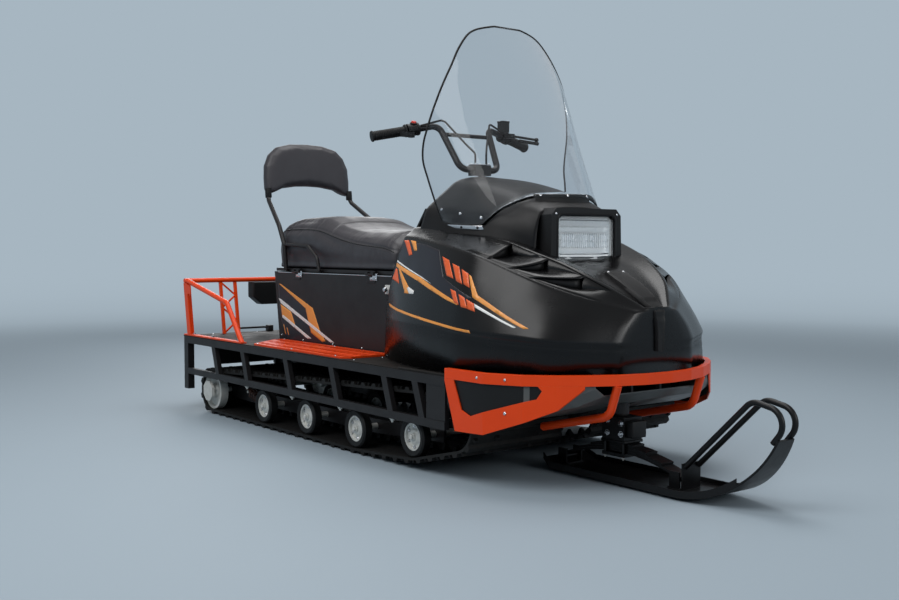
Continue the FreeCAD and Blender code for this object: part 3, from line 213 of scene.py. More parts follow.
class Relief(Enum):
    """Kinds of fine relief that a finish carries."""

    PEEL = "orange peel of a sprayed or baked coat"
    GRAIN = "pebbled cells pressed into vinyl or moulded plastic"
    DRAWN = "fine lines of drawn or brushed metal"
    CAST = "rough skin of cast or forged metal"


@dataclass(frozen=True)
class Finish:
    """A surface of one material: its colour, how it mottles, its fine relief and its worn edges."""

    name: str
    colour: str
    second: str
    roughness: float
    metallic: float = 0.0
    ior: float = 1.5
    coat: float = 0.0
    relief: Relief = Relief.PEEL
    relief_mm: float = 1.5
    relief_height: float = 0.05
    mottle_mm: float = 90.0
    edge_mm: float = 0.0
    edge_colour: str = ""
    specular: float = 0.5

    def heights(self, tree: bpy.types.NodeTree, place: bpy.types.NodeSocket) -> bpy.types.NodeSocket:
        """Adds the pattern of the fine relief.

        Args:
            tree: the material's tree.
            place: object coordinates in metres.

        Returns:
            The socket with the relief's height, from 0 to 1.
        """
        scale = 1000.0 / self.relief_mm
        if self.relief is Relief.GRAIN:
            cells = add_node(tree, "ShaderNodeTexVoronoi", {"Vector": place, "Scale": scale}, feature="SMOOTH_F1")
            return cells.outputs["Distance"]
        if self.relief is Relief.DRAWN:
            place = add_node(tree, "ShaderNodeMapping", {"Vector": place, "Scale": (0.04, 1.0, 1.0)}).outputs[0]
        detail = 6.0 if self.relief is Relief.CAST else 2.0
        return add_node(tree, "ShaderNodeTexNoise", {"Vector": place, "Scale": scale, "Detail": detail}).outputs[0]

    def make(self) -> bpy.types.Material:
        """Builds the material.

        Returns:
            A node material with mottled colour, uneven roughness, relief and worn edges.
        """
        made, tree, shader, place = new_material(self.name)
        cloud = add_node(tree, "ShaderNodeTexNoise", {"Vector": place, "Scale": 1000.0 / self.mottle_mm,
                                                      "Detail": 5.0, "Roughness": 0.6}).outputs[0]
        colour = add_node(tree, "ShaderNodeMix", {"Factor": cloud, 6: linear(self.colour), 7: linear(self.second)},
                          data_type="RGBA").outputs[2]
        bump = add_node(tree, "ShaderNodeBump", {"Height": self.heights(tree, place), "Strength": 1.0,
                                                 "Distance": self.relief_height * MM})
        if self.edge_mm:
            soft = add_node(tree, "ShaderNodeBevel", {"Radius": self.edge_mm * MM}, samples=4).outputs[0]
            feed(tree, bump, {"Normal": soft})
            if self.edge_colour:
                colour = self.worn(tree, place, soft, colour)
        rough = add_node(tree, "ShaderNodeMapRange", {"Value": cloud, 1: 0.3, 2: 0.7, 3: self.roughness * 0.85,
                                                      4: min(1.0, self.roughness * 1.15)})
        feed(tree, shader, {"Base Color": colour, "Normal": bump.outputs[0], "Roughness": rough.outputs[0],
                            "Metallic": self.metallic, "Specular IOR Level": self.specular,
                            "Coat Weight": self.coat, "Coat Roughness": 0.08})
        if not self.metallic:
            feed(tree, shader, {"IOR": self.ior})
        return made

    def worn(self, tree: bpy.types.NodeTree, place: bpy.types.NodeSocket, soft: bpy.types.NodeSocket,
             colour: bpy.types.NodeSocket) -> bpy.types.NodeSocket:
        """Adds the wear on sharp corners.

        Args:
            tree: the material's tree.
            place: object coordinates in metres.
            soft: the normal with rounded edges.
            colour: the colour away from corners.

        Returns:
            The socket with the worn colour.
        """
        flat = add_node(tree, "ShaderNodeNewGeometry").outputs["Normal"]
        dot = add_node(tree, "ShaderNodeVectorMath", {0: soft, 1: flat}, operation="DOT_PRODUCT")
        scuff = add_node(tree, "ShaderNodeTexNoise", {"Vector": place, "Scale": 160.0, "Detail": 4.0})
        edge = add_node(tree, "ShaderNodeMapRange", {"Value": dot.outputs["Value"], 1: 0.97, 2: 0.80})
        some = add_node(tree, "ShaderNodeMapRange", {"Value": scuff.outputs[0], 1: 0.50, 2: 0.66})
        both = add_node(tree, "ShaderNodeMath", {0: edge.outputs[0], 1: some.outputs[0]}, operation="MULTIPLY")
        return add_node(tree, "ShaderNodeMix", {"Factor": both.outputs[0], 6: colour,
                                                7: linear(self.edge_colour)}, data_type="RGBA").outputs[2]


@dataclass(frozen=True)
class ClearSheet:
    """Clear plastic or glass that lets lamps through to what is behind it."""

    name: str
    colour: str
    roughness: float
    ior: float
    shade: str
    ripple_mm: float
    ripple_height: float
    specular: float = 0.5

    def make(self) -> bpy.types.Material:
        """Builds the material.

        Returns:
            A transmitting material whose shadow is a light tint.
        """
        made, tree, shader, place = new_material(self.name)
        wave = add_node(tree, "ShaderNodeTexNoise", {"Vector": place, "Scale": 1000.0 / self.ripple_mm}).outputs[0]
        bump = add_node(tree, "ShaderNodeBump", {"Height": wave, "Distance": self.ripple_height * MM})
        haze = add_node(tree, "ShaderNodeMapRange", {"Value": wave, 3: self.roughness * 0.6, 4: self.roughness * 1.4})
        feed(tree, shader, {"Normal": bump.outputs[0], "Roughness": haze.outputs[0], "IOR": self.ior,
                            "Base Color": linear(self.colour), "Transmission Weight": 1.0,
                            "Specular IOR Level": self.specular})
        through = add_node(tree, "ShaderNodeBsdfTransparent", {"Color": linear(self.shade)})
        blend(tree, seen_by(tree, "Is Shadow Ray"), shader, through)
        return made


Look = Finish | ClearSheet


class Finishes:
    """Every finish on the machine, each made once."""

    # Baked polyester powder: even satin gloss with a faint orange peel, paler where corners are rubbed.
    ORANGE = Finish("powder_coated_steel_orange", "#F24A0A", "#E74106", 0.38, relief_mm=2.2, relief_height=0.03,
                    edge_mm=1.6, edge_colour="#F07A45", specular=0.35)
    # The same powder in black on the frame: soft broad highlights, grey on its rubbed corners.
    BLACK_STEEL = Finish("powder_coated_steel_black", "#222021", "#181718", 0.42, relief_mm=1.4,
                         relief_height=0.04, edge_mm=1.4, edge_colour="#3C3C3E", specular=0.3)
    # Semi-gloss enamel of the ski and its spring: darker than the frame, with bare steel on worn edges.
    SKI_STEEL = Finish("enamelled_spring_steel", "#111113", "#0B0B0C", 0.36, relief_mm=2.5, relief_height=0.05,
                       edge_mm=1.2, edge_colour="#55565A", mottle_mm=40.0, specular=0.3)
    # Vacuum-formed ABS with a glossy face: sharp, gently waving lamp streaks over near black.
    HOOD_ABS = Finish("vacuum_formed_ABS_gloss", "#060608", "#040405", 0.27, ior=1.53, relief_mm=26.0,
                      relief_height=0.05, mottle_mm=160.0, specular=0.3)
    # The same sheet with a fine haircell face: the lamps spread into a dull sheen.
    COWL_ABS = Finish("vacuum_formed_ABS_satin", "#0E0E10", "#0A0A0C", 0.42, ior=1.53, relief=Relief.GRAIN,
                      relief_mm=1.1, relief_height=0.02, specular=0.2)
    # Injection-moulded nylon: pebbled and matt, slightly grey.
    MOULDED = Finish("moulded_nylon_black", "#131314", "#0D0D0E", 0.50, relief=Relief.GRAIN, relief_mm=1.2,
                     relief_height=0.05, specular=0.3)
    # Upholstery vinyl: pressed leather grain, drawn coarser than it is so that it shows, and a soft sheen.
    SEAT_VINYL = Finish("grained_seat_vinyl", "#3B393D", "#302E32", 0.46, relief=Relief.GRAIN, relief_mm=2.4,
                        relief_height=0.12, mottle_mm=45.0, specular=0.45)
    # Moulded track rubber: matt and rough, mottled from near black to a browner dark grey.
    TRACK_RUBBER = Finish("moulded_track_rubber", "#101010", "#191817", 0.68, relief=Relief.CAST, relief_mm=3.0,
                          relief_height=0.18, mottle_mm=22.0, specular=0.3)
    # Moulded rubber of tyres, grips and hoses: smoother and darker than the tracks.
    RUBBER = Finish("moulded_rubber", "#0D0D0E", "#141414", 0.58, relief=Relief.CAST, relief_mm=2.0,
                    relief_height=0.06, mottle_mm=30.0, specular=0.3)
    # Passivated zinc on stamped steel: pale, blotchy, half gloss.
    ZINC = Finish("passivated_zinc_steel", "#E2E2DD", "#BEBEB9", 0.45, metallic=0.15, relief=Relief.CAST,
                  relief_mm=2.4, relief_height=0.05, mottle_mm=14.0)
    # Bright plating of bolts and trim: mirror glints with fine drawn lines.
    BRIGHT = Finish("bright_plated_steel", "#D8D8DA", "#C2C2C5", 0.18, metallic=1.0, relief=Relief.DRAWN,
                    relief_mm=0.8, relief_height=0.01, mottle_mm=20.0)
    # Sand-cast aluminium of the engine: dull grey metal with a gritty skin.
    CAST_ALLOY = Finish("sand_cast_aluminium", "#A2A3A2", "#858685", 0.5, metallic=0.8, relief=Relief.CAST,
                        relief_mm=1.6, relief_height=0.12, mottle_mm=35.0)
    # Aluminised polycarbonate bowl: a bright, slightly milky mirror behind the lamp glass.
    MIRROR = Finish("aluminised_reflector", "#EDEDEB", "#E0E0DE", 0.16, metallic=0.6, relief_mm=9.0,
                    relief_height=0.06)
    # Calendered sign vinyl in plain colours: flat, even and half gloss, crisp against the panel.
    DECAL_ORANGE, DECAL_AMBER, DECAL_WHITE, DECAL_NAVY = (
        Finish(f"sign_vinyl_{name}", colour, second, 0.34, relief_mm=6.0, relief_height=0.02)
        for name, colour, second in (("orange", "#E8632A", "#E05B24"), ("amber", "#F0A04B", "#EA9743"),
                                     ("white", "#ECECEA", "#E2E2E0"), ("navy", "#0E0D1C", "#0A0A16")))
    # Painted deck plate: matt brown-black, with edges softened by the paint.
    DECK = Finish("painted_deck_plate", "#221E1B", "#191614", 0.6, relief=Relief.CAST, relief_mm=3.0,
                  relief_height=0.06, mottle_mm=70.0, edge_mm=1.0, specular=0.25)
    # Grey coated sheet of the belly tray: an even mid grey that lifts the underside from shadow.
    LINER = Finish("grey_coated_sheet", "#5E605F", "#4C4E4D", 0.4, relief_mm=4.0, relief_height=0.04)
    # Moulded acrylic of the tail lamp: deep glossy red.
    RED_LENS = Finish("moulded_acrylic_red", "#7A0C0C", "#640808", 0.2, ior=1.49, relief_mm=5.0,
                      relief_height=0.10, coat=0.4)
    # Moulded nylon of the stop button: a clear warning red, half gloss.
    RED_BUTTON = Finish("moulded_nylon_red", "#D22A16", "#BC2311", 0.38, relief_mm=1.0, relief_height=0.02)
    # Vinyl folded round a cord: a dark line with a thin sheen along each seam.
    PIPING = Finish("folded_vinyl_piping", "#0E0E10", "#09090A", 0.4, relief=Relief.GRAIN, relief_mm=1.2,
                    relief_height=0.05, mottle_mm=30.0)
    # Bonded nylon thread, drawn as thick as it needs to be to show: raised dashes in the vinyl's own grey.
    THREAD = Finish("bonded_nylon_thread", "#3A393C", "#2C2B2E", 0.6, relief_mm=0.6, relief_height=0.03,
                    mottle_mm=12.0)
    # Brown-red oxide enamel of the shock absorbers: dusty and half matt.
    SHOCK = Finish("oxide_enamel_brown", "#5A3A30", "#3E2A24", 0.45, relief=Relief.CAST, relief_mm=3.0,
                   relief_height=0.04, mottle_mm=24.0)
    # Extruded acrylic sheet: faint grey and polished, with long soft waves in what it mirrors.
    SHIELD = ClearSheet("acrylic_sheet_clear", "#EEF0F2", 0.02, 1.3, "#D4D8DB", 90.0, 0.05, 0.12)
    # Pressed lamp glass: clear and bright, so that its flutes break up the bowl behind it.
    LAMP_GLASS = ClearSheet("pressed_glass_clear", "#FBFCFD", 0.03, 1.47, "#F2F4F6", 30.0, 0.05)

    def __init__(self) -> None:
        """Starts with no material made."""
        self.made: dict[str, bpy.types.Material] = {}

    def get(self, finish: Look) -> bpy.types.Material:
        """Gives the material of a finish, made on first use."""
        if finish.name not in self.made:
            self.made[finish.name] = finish.make()
        return self.made[finish.name]


FINISHES = Finishes()


# ---------------------------------------------------------------- pieces
def link(name: str, data: bpy.types.ID) -> Piece:
    """Puts an object with its data in the scene."""
    made = bpy.data.objects.new(name, data)
    bpy.context.scene.collection.objects.link(made)
    return made


def to_mesh(name: str, bm: bmesh.types.BMesh) -> bpy.types.Mesh:
    """Turns a bmesh into a mesh and frees it."""
    mesh = bpy.data.meshes.new(name)
    bm.to_mesh(mesh)
    bm.free()
    return mesh


def surface(piece: Piece) -> BVHTree:
    """Gives the search tree of a piece's faces."""
    return BVHTree.FromObject(piece, bpy.context.evaluated_depsgraph_get())


def new_piece(name: str, mesh: bpy.types.Mesh, finish: Look, angle: float = 35.0) -> Piece:
    """Puts a mesh in the scene with one finish.

    Args:
        name: the piece's name.
        mesh: its mesh, in metres and in place.
        finish: what it is made of.
        angle: edges bent by less than this many degrees are shaded smooth.

    Returns:
        The piece's object, which rides on nothing yet.
    """
    made = link(name, mesh)
    mesh.materials.clear()
    mesh.materials.append(FINISHES.get(finish))
    mesh.shade_smooth()
    mesh.set_sharp_from_angle(angle=math.radians(angle))
    return made


def from_bmesh(name: str, bm: bmesh.types.BMesh, finish: Look, angle: float = 35.0) -> Piece:
    """Turns a bmesh into a piece, with its faces pointing outwards."""
    bmesh.ops.remove_doubles(bm, verts=bm.verts, dist=1e-6)
    bmesh.ops.recalc_face_normals(bm, faces=bm.faces)
    return new_piece(name, to_mesh(name, bm), finish, angle)


def modify(piece: Piece, kind: str, **settings: object) -> bpy.types.Modifier:
    """Adds a modifier with its settings."""
    made = piece.modifiers.new(kind.lower(), kind)
    for name, value in settings.items():
        setattr(made, name, value)
    return made


def baked(piece: Piece) -> bpy.types.Mesh:
    """Gives a new mesh of a piece with its modifiers applied."""
    graph = bpy.context.evaluated_depsgraph_get()
    graph.update()
    return bpy.data.meshes.new_from_object(piece.evaluated_get(graph), depsgraph=graph)


def settle(piece: Piece) -> Piece:
    """Bakes a piece's modifiers into its mesh."""
    mesh = baked(piece)
    piece.modifiers.clear()
    old, piece.data = piece.data, mesh
    mesh.name = piece.name
    if old.users == 0:
        bpy.data.batch_remove([old])
    return piece


def wall(piece: Piece, thickness: float) -> Piece:
    """Gives a sheet its thickness in millimetres, inwards."""
    modify(piece, "SOLIDIFY", thickness=thickness * MM, offset=-1.0)
    return settle(piece)


def mount(piece: Piece, body: str) -> Piece:
    """Lets a piece ride on a body and logs where it rides."""
    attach(piece, body)
    LOG.info("%s rides on %s", piece.name, body)
    return piece


def join(name: str, parts: Sequence[Piece]) -> Piece:
    """Makes one piece of several, which keep their materials."""
    bm = bmesh.new()
    materials: list[bpy.types.Material] = []
    for part in parts:
        start = len(bm.faces)
        bm.from_mesh(part.data)
        bm.faces.ensure_lookup_table()
        for face in bm.faces[start:]:
            material = part.data.materials[face.material_index]
            if material not in materials:
                materials.append(material)
            face.material_index = materials.index(material)
    mesh = to_mesh(name, bm)
    for material in materials:
        mesh.materials.append(material)
    for part in parts:
        bpy.data.objects.remove(part)
    return link(name, mesh)


def skin(bm: bmesh.types.BMesh, rings: Sequence[Sequence[Point]], closed: bool = True,
         caps: bool = True) -> list[list[bmesh.types.BMVert]]:
    """Skins rings of points that all have the same count.

    Args:
        bm: the bmesh that gets the faces.
        rings: rings or rows of places in metres.
        closed: whether each ring runs back to its start.
        caps: whether the first and last rings are closed with a face.

    Returns:
        The vertices, ring by ring.
    """
    grid = [[bm.verts.new(point) for point in ring] for ring in rings]
    count = len(grid[0])
    for near, far in zip(grid, grid[1:]):
        for k in range(count if closed else count - 1):
            bm.faces.new((near[k], near[(k + 1) % count], far[(k + 1) % count], far[k]))
    if caps and closed:
        bm.faces.new(grid[0][::-1])
        bm.faces.new(grid[-1])
    return grid


def skinned(name: str, rings: Sequence[Sequence[Point]], finish: Look, angle: float = 35.0,
            closed: bool = True, caps: bool = True) -> Piece:
    """Makes a piece of one skin over rings of points."""
    bm = bmesh.new()
    skin(bm, rings, closed, caps)
    return from_bmesh(name, bm, finish, angle)


def circle(sides: int) -> list[float]:
    """Gives evenly spaced angles once round."""
    return [2 * math.pi * k / sides for k in range(sides)]


def crossways(axis: Vector) -> Vector:
    """Gives a direction across an axis."""
    return axis.cross(Vector((0, 0, 1)) if abs(axis.z) < 0.9 else Vector((1, 0, 0))).normalized()


def frames_along(points: Sequence[Vector]) -> list[tuple[Vector, Vector]]:
    """Gives two cross directions at each point of a path, turned as little as possible from one to the next."""
    result = []
    side = None
    for i, _ in enumerate(points):
        along = (points[min(i + 1, len(points) - 1)] - points[max(i - 1, 0)]).normalized()
        if side is None:
            side = crossways(along)
        side = (side - along * side.dot(along)).normalized()
        result.append((side, along.cross(side)))
    return result


def smooth_path(points: Sequence[Point], count: int = 8) -> Ring:
    """Runs a Catmull-Rom curve through places.

    Args:
        points: places in metres.
        count: steps between two of them.

    Returns:
        The finer list of places.
    """
    rows = [(float(i), *point) for i, point in enumerate(points)]
    total = (len(points) - 1) * count
    return [Vector(smooth_row(rows, i / count)) for i in range(total + 1)]


def arc_corners(corners: Sequence[Vector], reaches: Sequence[float], most: float = SHELL_REACH,
                steps: int = 6) -> Ring:
    """Rounds each inner corner of a run of straight pieces with an arc.

    Args:
        corners: the run's places.
        reaches: how far from each inner corner its arc starts at most.
        most: the largest share of a straight piece that an arc takes.
        steps: places on each arc.

    Returns:
        The rounded run.
    """
    result = [corners[0]]
    for before, corner, after, reach in zip(corners, corners[1:], corners[2:], reaches):
        start, end = (corner + (other - corner).normalized() * min(reach, (other - corner).length * most)
                      for other in (before, after))
        for k in range(steps + 1):
            t = k / steps
            result.append(start * (1 - t) ** 2 + corner * 2 * t * (1 - t) + end * t * t)
    return result + [corners[-1]]


def round_corners(points: Sequence[Point], radius: float) -> Ring:
    """Rounds the corners of a bar's line, each alike on both of its sides."""
    corners = [Vector(p) for p in points]
    reaches = [min(radius, (before - corner).length * 0.49, (after - corner).length * 0.49)
               for before, corner, after in zip(corners, corners[1:], corners[2:])]
    return arc_corners(corners, reaches, 0.49)


def tube(name: str, points: Sequence[Vector], radius: float, finish: Look, sides: int = 14) -> Piece:
    """Makes a round bar or hose along a path.

    Args:
        name: the piece's name.
        points: places along its middle, in metres.
        radius: in millimetres.
        finish: what it is made of.
        sides: faces round it.

    Returns:
        The piece, with closed ends.
    """
    r = radius * MM
    rings = [[point + side * (math.cos(a) * r) + up * (math.sin(a) * r) for a in circle(sides)]
             for point, (side, up) in zip(points, frames_along(points))]
    return skinned(name, rings, finish, 50.0)


def turned(name: str, profile: Sequence[tuple[float, float]], centre: Vector, axis: Vector,
           finish: Look, sides: int = 32) -> Piece:
    """Turns a profile round an axis.

    Args:
        name: the piece's name.
        profile: distances along the axis and radii, in millimetres, from one end to the other.
        centre: where the axis starts, in metres.
        axis: its direction.
        finish: what it is made of.
        sides: faces round it.

    Returns:
        The piece; an end with a radius of nought is closed by its last ring.
    """
    axis = axis.normalized()
    side = crossways(axis)
    up = axis.cross(side)
    rings = []
    for along, radius in profile:
        r = max(radius, 0.02) * MM
        rings.append([centre + axis * (along * MM) + side * (math.cos(a) * r) + up * (math.sin(a) * r)
                      for a in circle(sides)])
    return skinned(name, rings, finish, 30.0)


def block(name: str, low: Point, high: Point, finish: Look,
          round_mm: float = 2.0) -> Piece:
    """Makes a box with rounded edges.

    Args:
        name: the piece's name.
        low: its lowest corner, in metres.
        high: its highest corner, in metres.
        finish: what it is made of.
        round_mm: radius of its edges.

    Returns:
        The piece.
    """
    bm = bmesh.new()
    bmesh.ops.create_cube(bm, size=1.0)
    low, high = Vector(low), Vector(high)
    for vert in bm.verts:
        vert.co = Vector(lerp(a, b, c + 0.5) for a, b, c in zip(low, high, vert.co))
    reach = min(round_mm * MM, min(high - low) * 0.45)
    bmesh.ops.bevel(bm, geom=bm.edges, offset=reach, segments=3, affect="EDGES", profile=0.5)
    return from_bmesh(name, bm, finish, 40.0)


# ---------------------------------------------------------------- studio
@dataclass
class Studio:
    """Pale floor, soft lamps and the camera."""

    lens: float = 43.156
    place: tuple[float, float, float] = (2.9627, -2.3332, 0.6849)
    heading: float = 37.533
    dip: float = 2.843
    floor_colour: str = "#97A5AF"
    wall_colour: str = "#A7B6C1"
    sky_colour: str = "#DCE2E8"
    fill_colour: str = "#E8ECF0"
    # how far out the floor is flat, and the radius of its rise beyond that
    flat: float = 7.0
    sweep: float = 5.0

    def build(self) -> None:
        """Makes the floor, the lamps, the world and the camera."""
        scene = bpy.context.scene
        scene.view_settings.view_transform = "Standard"
        self.floor()
        self.world()
        # name, place and aim in metres, side in metres, power in watts
        for lamp in (("key", (0.6, -2.6, 3.4), (0.1, 0.0, 0.5), 2.6, 84.0),
                     ("top", (-0.4, 0.6, 3.6), (0.0, 0.0, 0.4), 2.2, 60.0),
                     ("front", (4.6, 0.8, 1.9), (0.6, 0.0, 0.6), 1.6, 42.0),
                     ("back", (-4.0, 1.6, 2.2), (-0.4, 0.0, 0.6), 1.8, 34.0)):
            self.lamp(*lamp)
        self.camera(scene)

    def floor(self) -> None:
        """Makes a wide pale floor that sweeps up all round, so that it has no edge."""
        profile = [(4.0, 0.0), (self.flat, 0.0)]
        profile += [(self.flat + self.sweep * math.sin(a), self.sweep - self.sweep * math.cos(a))
                    for a in (math.pi / 24 * k for k in range(1, 13))]
        bm = bmesh.new()
        grid = skin(bm, [[(r * math.cos(a), -r * math.sin(a), z) for a in circle(72)] for r, z in profile], caps=False)
        bm.faces.new(grid[0][::-1])
        mesh = to_mesh("floor", bm)
        mesh.shade_smooth()
        floor = link("floor", mesh)
        # Matt grey-blue paper that fades into an even backdrop far from the machine.
        made, tree, shader, place = new_material("studio_floor")
        feed(tree, shader, {"Base Color": linear(self.floor_colour), "Roughness": 0.7})
        away = add_node(tree, "ShaderNodeVectorMath", {0: place}, operation="LENGTH")
        fade = add_node(tree, "ShaderNodeMapRange", {"Value": away.outputs["Value"], 1: 3.0, 2: 9.0},
                        interpolation_type="SMOOTHSTEP")
        seen = seen_by(tree, "Is Camera Ray", "Is Transmission Ray", "Is Glossy Ray")
        share = add_node(tree, "ShaderNodeMath", {0: fade.outputs[0], 1: seen}, operation="MULTIPLY")
        even = add_node(tree, "ShaderNodeEmission", {"Color": linear(self.wall_colour), "Strength": 1.0})
        blend(tree, share.outputs[0], shader, even)
        mesh.materials.append(made)

    def world(self) -> None:
        """Lights from all round, with a pale sky for the camera and through glass."""
        world = bpy.data.worlds.new("studio_world")
        bpy.context.scene.world = world
        world.use_nodes = True
        tree = world.node_tree
        tree.nodes.clear()
        seen = seen_by(tree, "Is Camera Ray", "Is Transmission Ray")
        soft = add_node(tree, "ShaderNodeBackground", {"Color": linear(self.fill_colour), "Strength": 0.42})
        pale = add_node(tree, "ShaderNodeBackground", {"Color": linear(self.sky_colour), "Strength": 1.0})
        mix = add_node(tree, "ShaderNodeMixShader", {0: seen, 1: soft.outputs[0], 2: pale.outputs[0]})
        add_node(tree, "ShaderNodeOutputWorld", {0: mix.outputs[0]})

    def lamp(self, name: str, place: Point, aim: Point, size: float, power: float) -> None:
        """Hangs one soft square lamp.

        Args:
            name: its name.
            place: where it hangs, in metres.
            aim: where it points.
            size: its side in metres.
            power: in watts.
        """
        data = bpy.data.lights.new(name, "AREA")
        data.size, data.energy = size, power
        lamp = link(name, data)
        lamp.visible_transmission = False
        self.point(lamp, place, Vector(aim) - Vector(place))

    def point(self, thing: Piece, place: Point, way: Vector) -> None:
        """Puts a lamp or the camera in its place and points it."""
        thing.location = place
        thing.rotation_euler = way.to_track_quat("-Z", "Y").to_euler()

    def camera(self, scene: bpy.types.Scene) -> None:
        """Sets up the camera at the front right of the machine."""
        data = bpy.data.cameras.new("camera")
        data.lens = self.lens
        camera = link("camera", data)
        turn, dip = math.radians(self.heading), math.radians(self.dip)
        aim = Vector((-math.cos(turn) * math.cos(dip), math.sin(turn) * math.cos(dip), -math.sin(dip)))
        self.point(camera, self.place, aim)
        scene.camera = camera


# ---------------------------------------------------------------- carried-over parts
class Dresser:
    """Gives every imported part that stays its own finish."""

    PARTS: tuple[tuple[Look, str], ...] = (
        (Finishes.ORANGE, "bumper_band bumper_side_plates skid_tubes rack_rails rack_frame step_grates"),
        (Finishes.BLACK_STEEL, "truss_rails truss_posts keel_beam cross_members seat_box seat_board backrest_tubes "
                               "suspension_links carrier_rails handlebar steering_column column_bearing tow_hitch"),
        (Finishes.SKI_STEEL, "spring_leaves ski ski_loop_rods ski_spindle"),
        (Finishes.TRACK_RUBBER, "drive_axle track_left track_right"),
        (Finishes.RUBBER, "grips road_wheel_tyres windshield_edge_bead control_cables"),
        (Finishes.MOULDED, "headlight_housing control_housings dash_panel tail_lamp"),
        (Finishes.ZINC, "road_wheel_hubs rear_idler_wheels"),
        (Finishes.SEAT_VINYL, "seat_cushion backrest_pad"), (Finishes.DECK, "deck_sheet"),
        (Finishes.LINER, "belly_tray"), (Finishes.HOOD_ABS, "hood_shell"), (Finishes.COWL_ABS, "upper_cowl"),
        (Finishes.SHIELD, "windshield"), (Finishes.LAMP_GLASS, "headlight_lens"),
        (Finishes.CAST_ALLOY, "engine_block"),
    )

    def dress(self) -> None:
        """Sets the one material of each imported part."""
        finish_of = {name: finish for finish, names in self.PARTS for name in names.split()}
        for name, piece in NODES.items():
            piece.data.materials.clear()
            piece.data.materials.append(FINISHES.get(finish_of[name]))
            LOG.info("%s is finished as %s", name, finish_of[name].name)


# ---------------------------------------------------------------- seat and backrest
@dataclass
class Padding:
    """Settings of the cloth run that swells a padded piece."""

    voxel: float = 5.0
    pressure: float = 4.0
    steps: int = 20
    most: float = 9.0

    def swell(self, piece: Piece, fixed: Callable[[Vector], float]) -> Piece:
        """Swells a closed mesh as stuffed fabric.

        Args:
            piece: the piece, in place.
            fixed: how far a place may move, as a share from 0 to 1.

        Returns:
            The same piece with its new mesh.
        """
        modify(piece, "REMESH", mode="VOXEL", voxel_size=self.voxel * MM)
        settle(piece)
        before = [vert.co.copy() for vert in piece.data.vertices]
        cloth = modify(piece, "CLOTH")
        cloth.settings.use_pressure = True
        cloth.settings.uniform_pressure_force = self.pressure
        cloth.settings.effector_weights.gravity = 0.0
        cloth.settings.quality = 6
        cloth.point_cache.frame_start, cloth.point_cache.frame_end = 1, self.steps
        for step in range(1, self.steps + 1):
            bpy.context.scene.frame_set(step)
        settle(piece)
        bpy.context.scene.frame_set(1)
        for vert, rest in zip(piece.data.vertices, before):
            moved = vert.co - rest
            reach = self.most * MM * fixed(rest)
            if moved.length > reach:
                vert.co = rest + moved.normalized() * reach
        modify(piece, "SMOOTH", factor=0.5, iterations=4)
        modify(piece, "SUBSURF", levels=1, render_levels=1)
        settle(piece)
        piece.data.shade_smooth()
        return piece


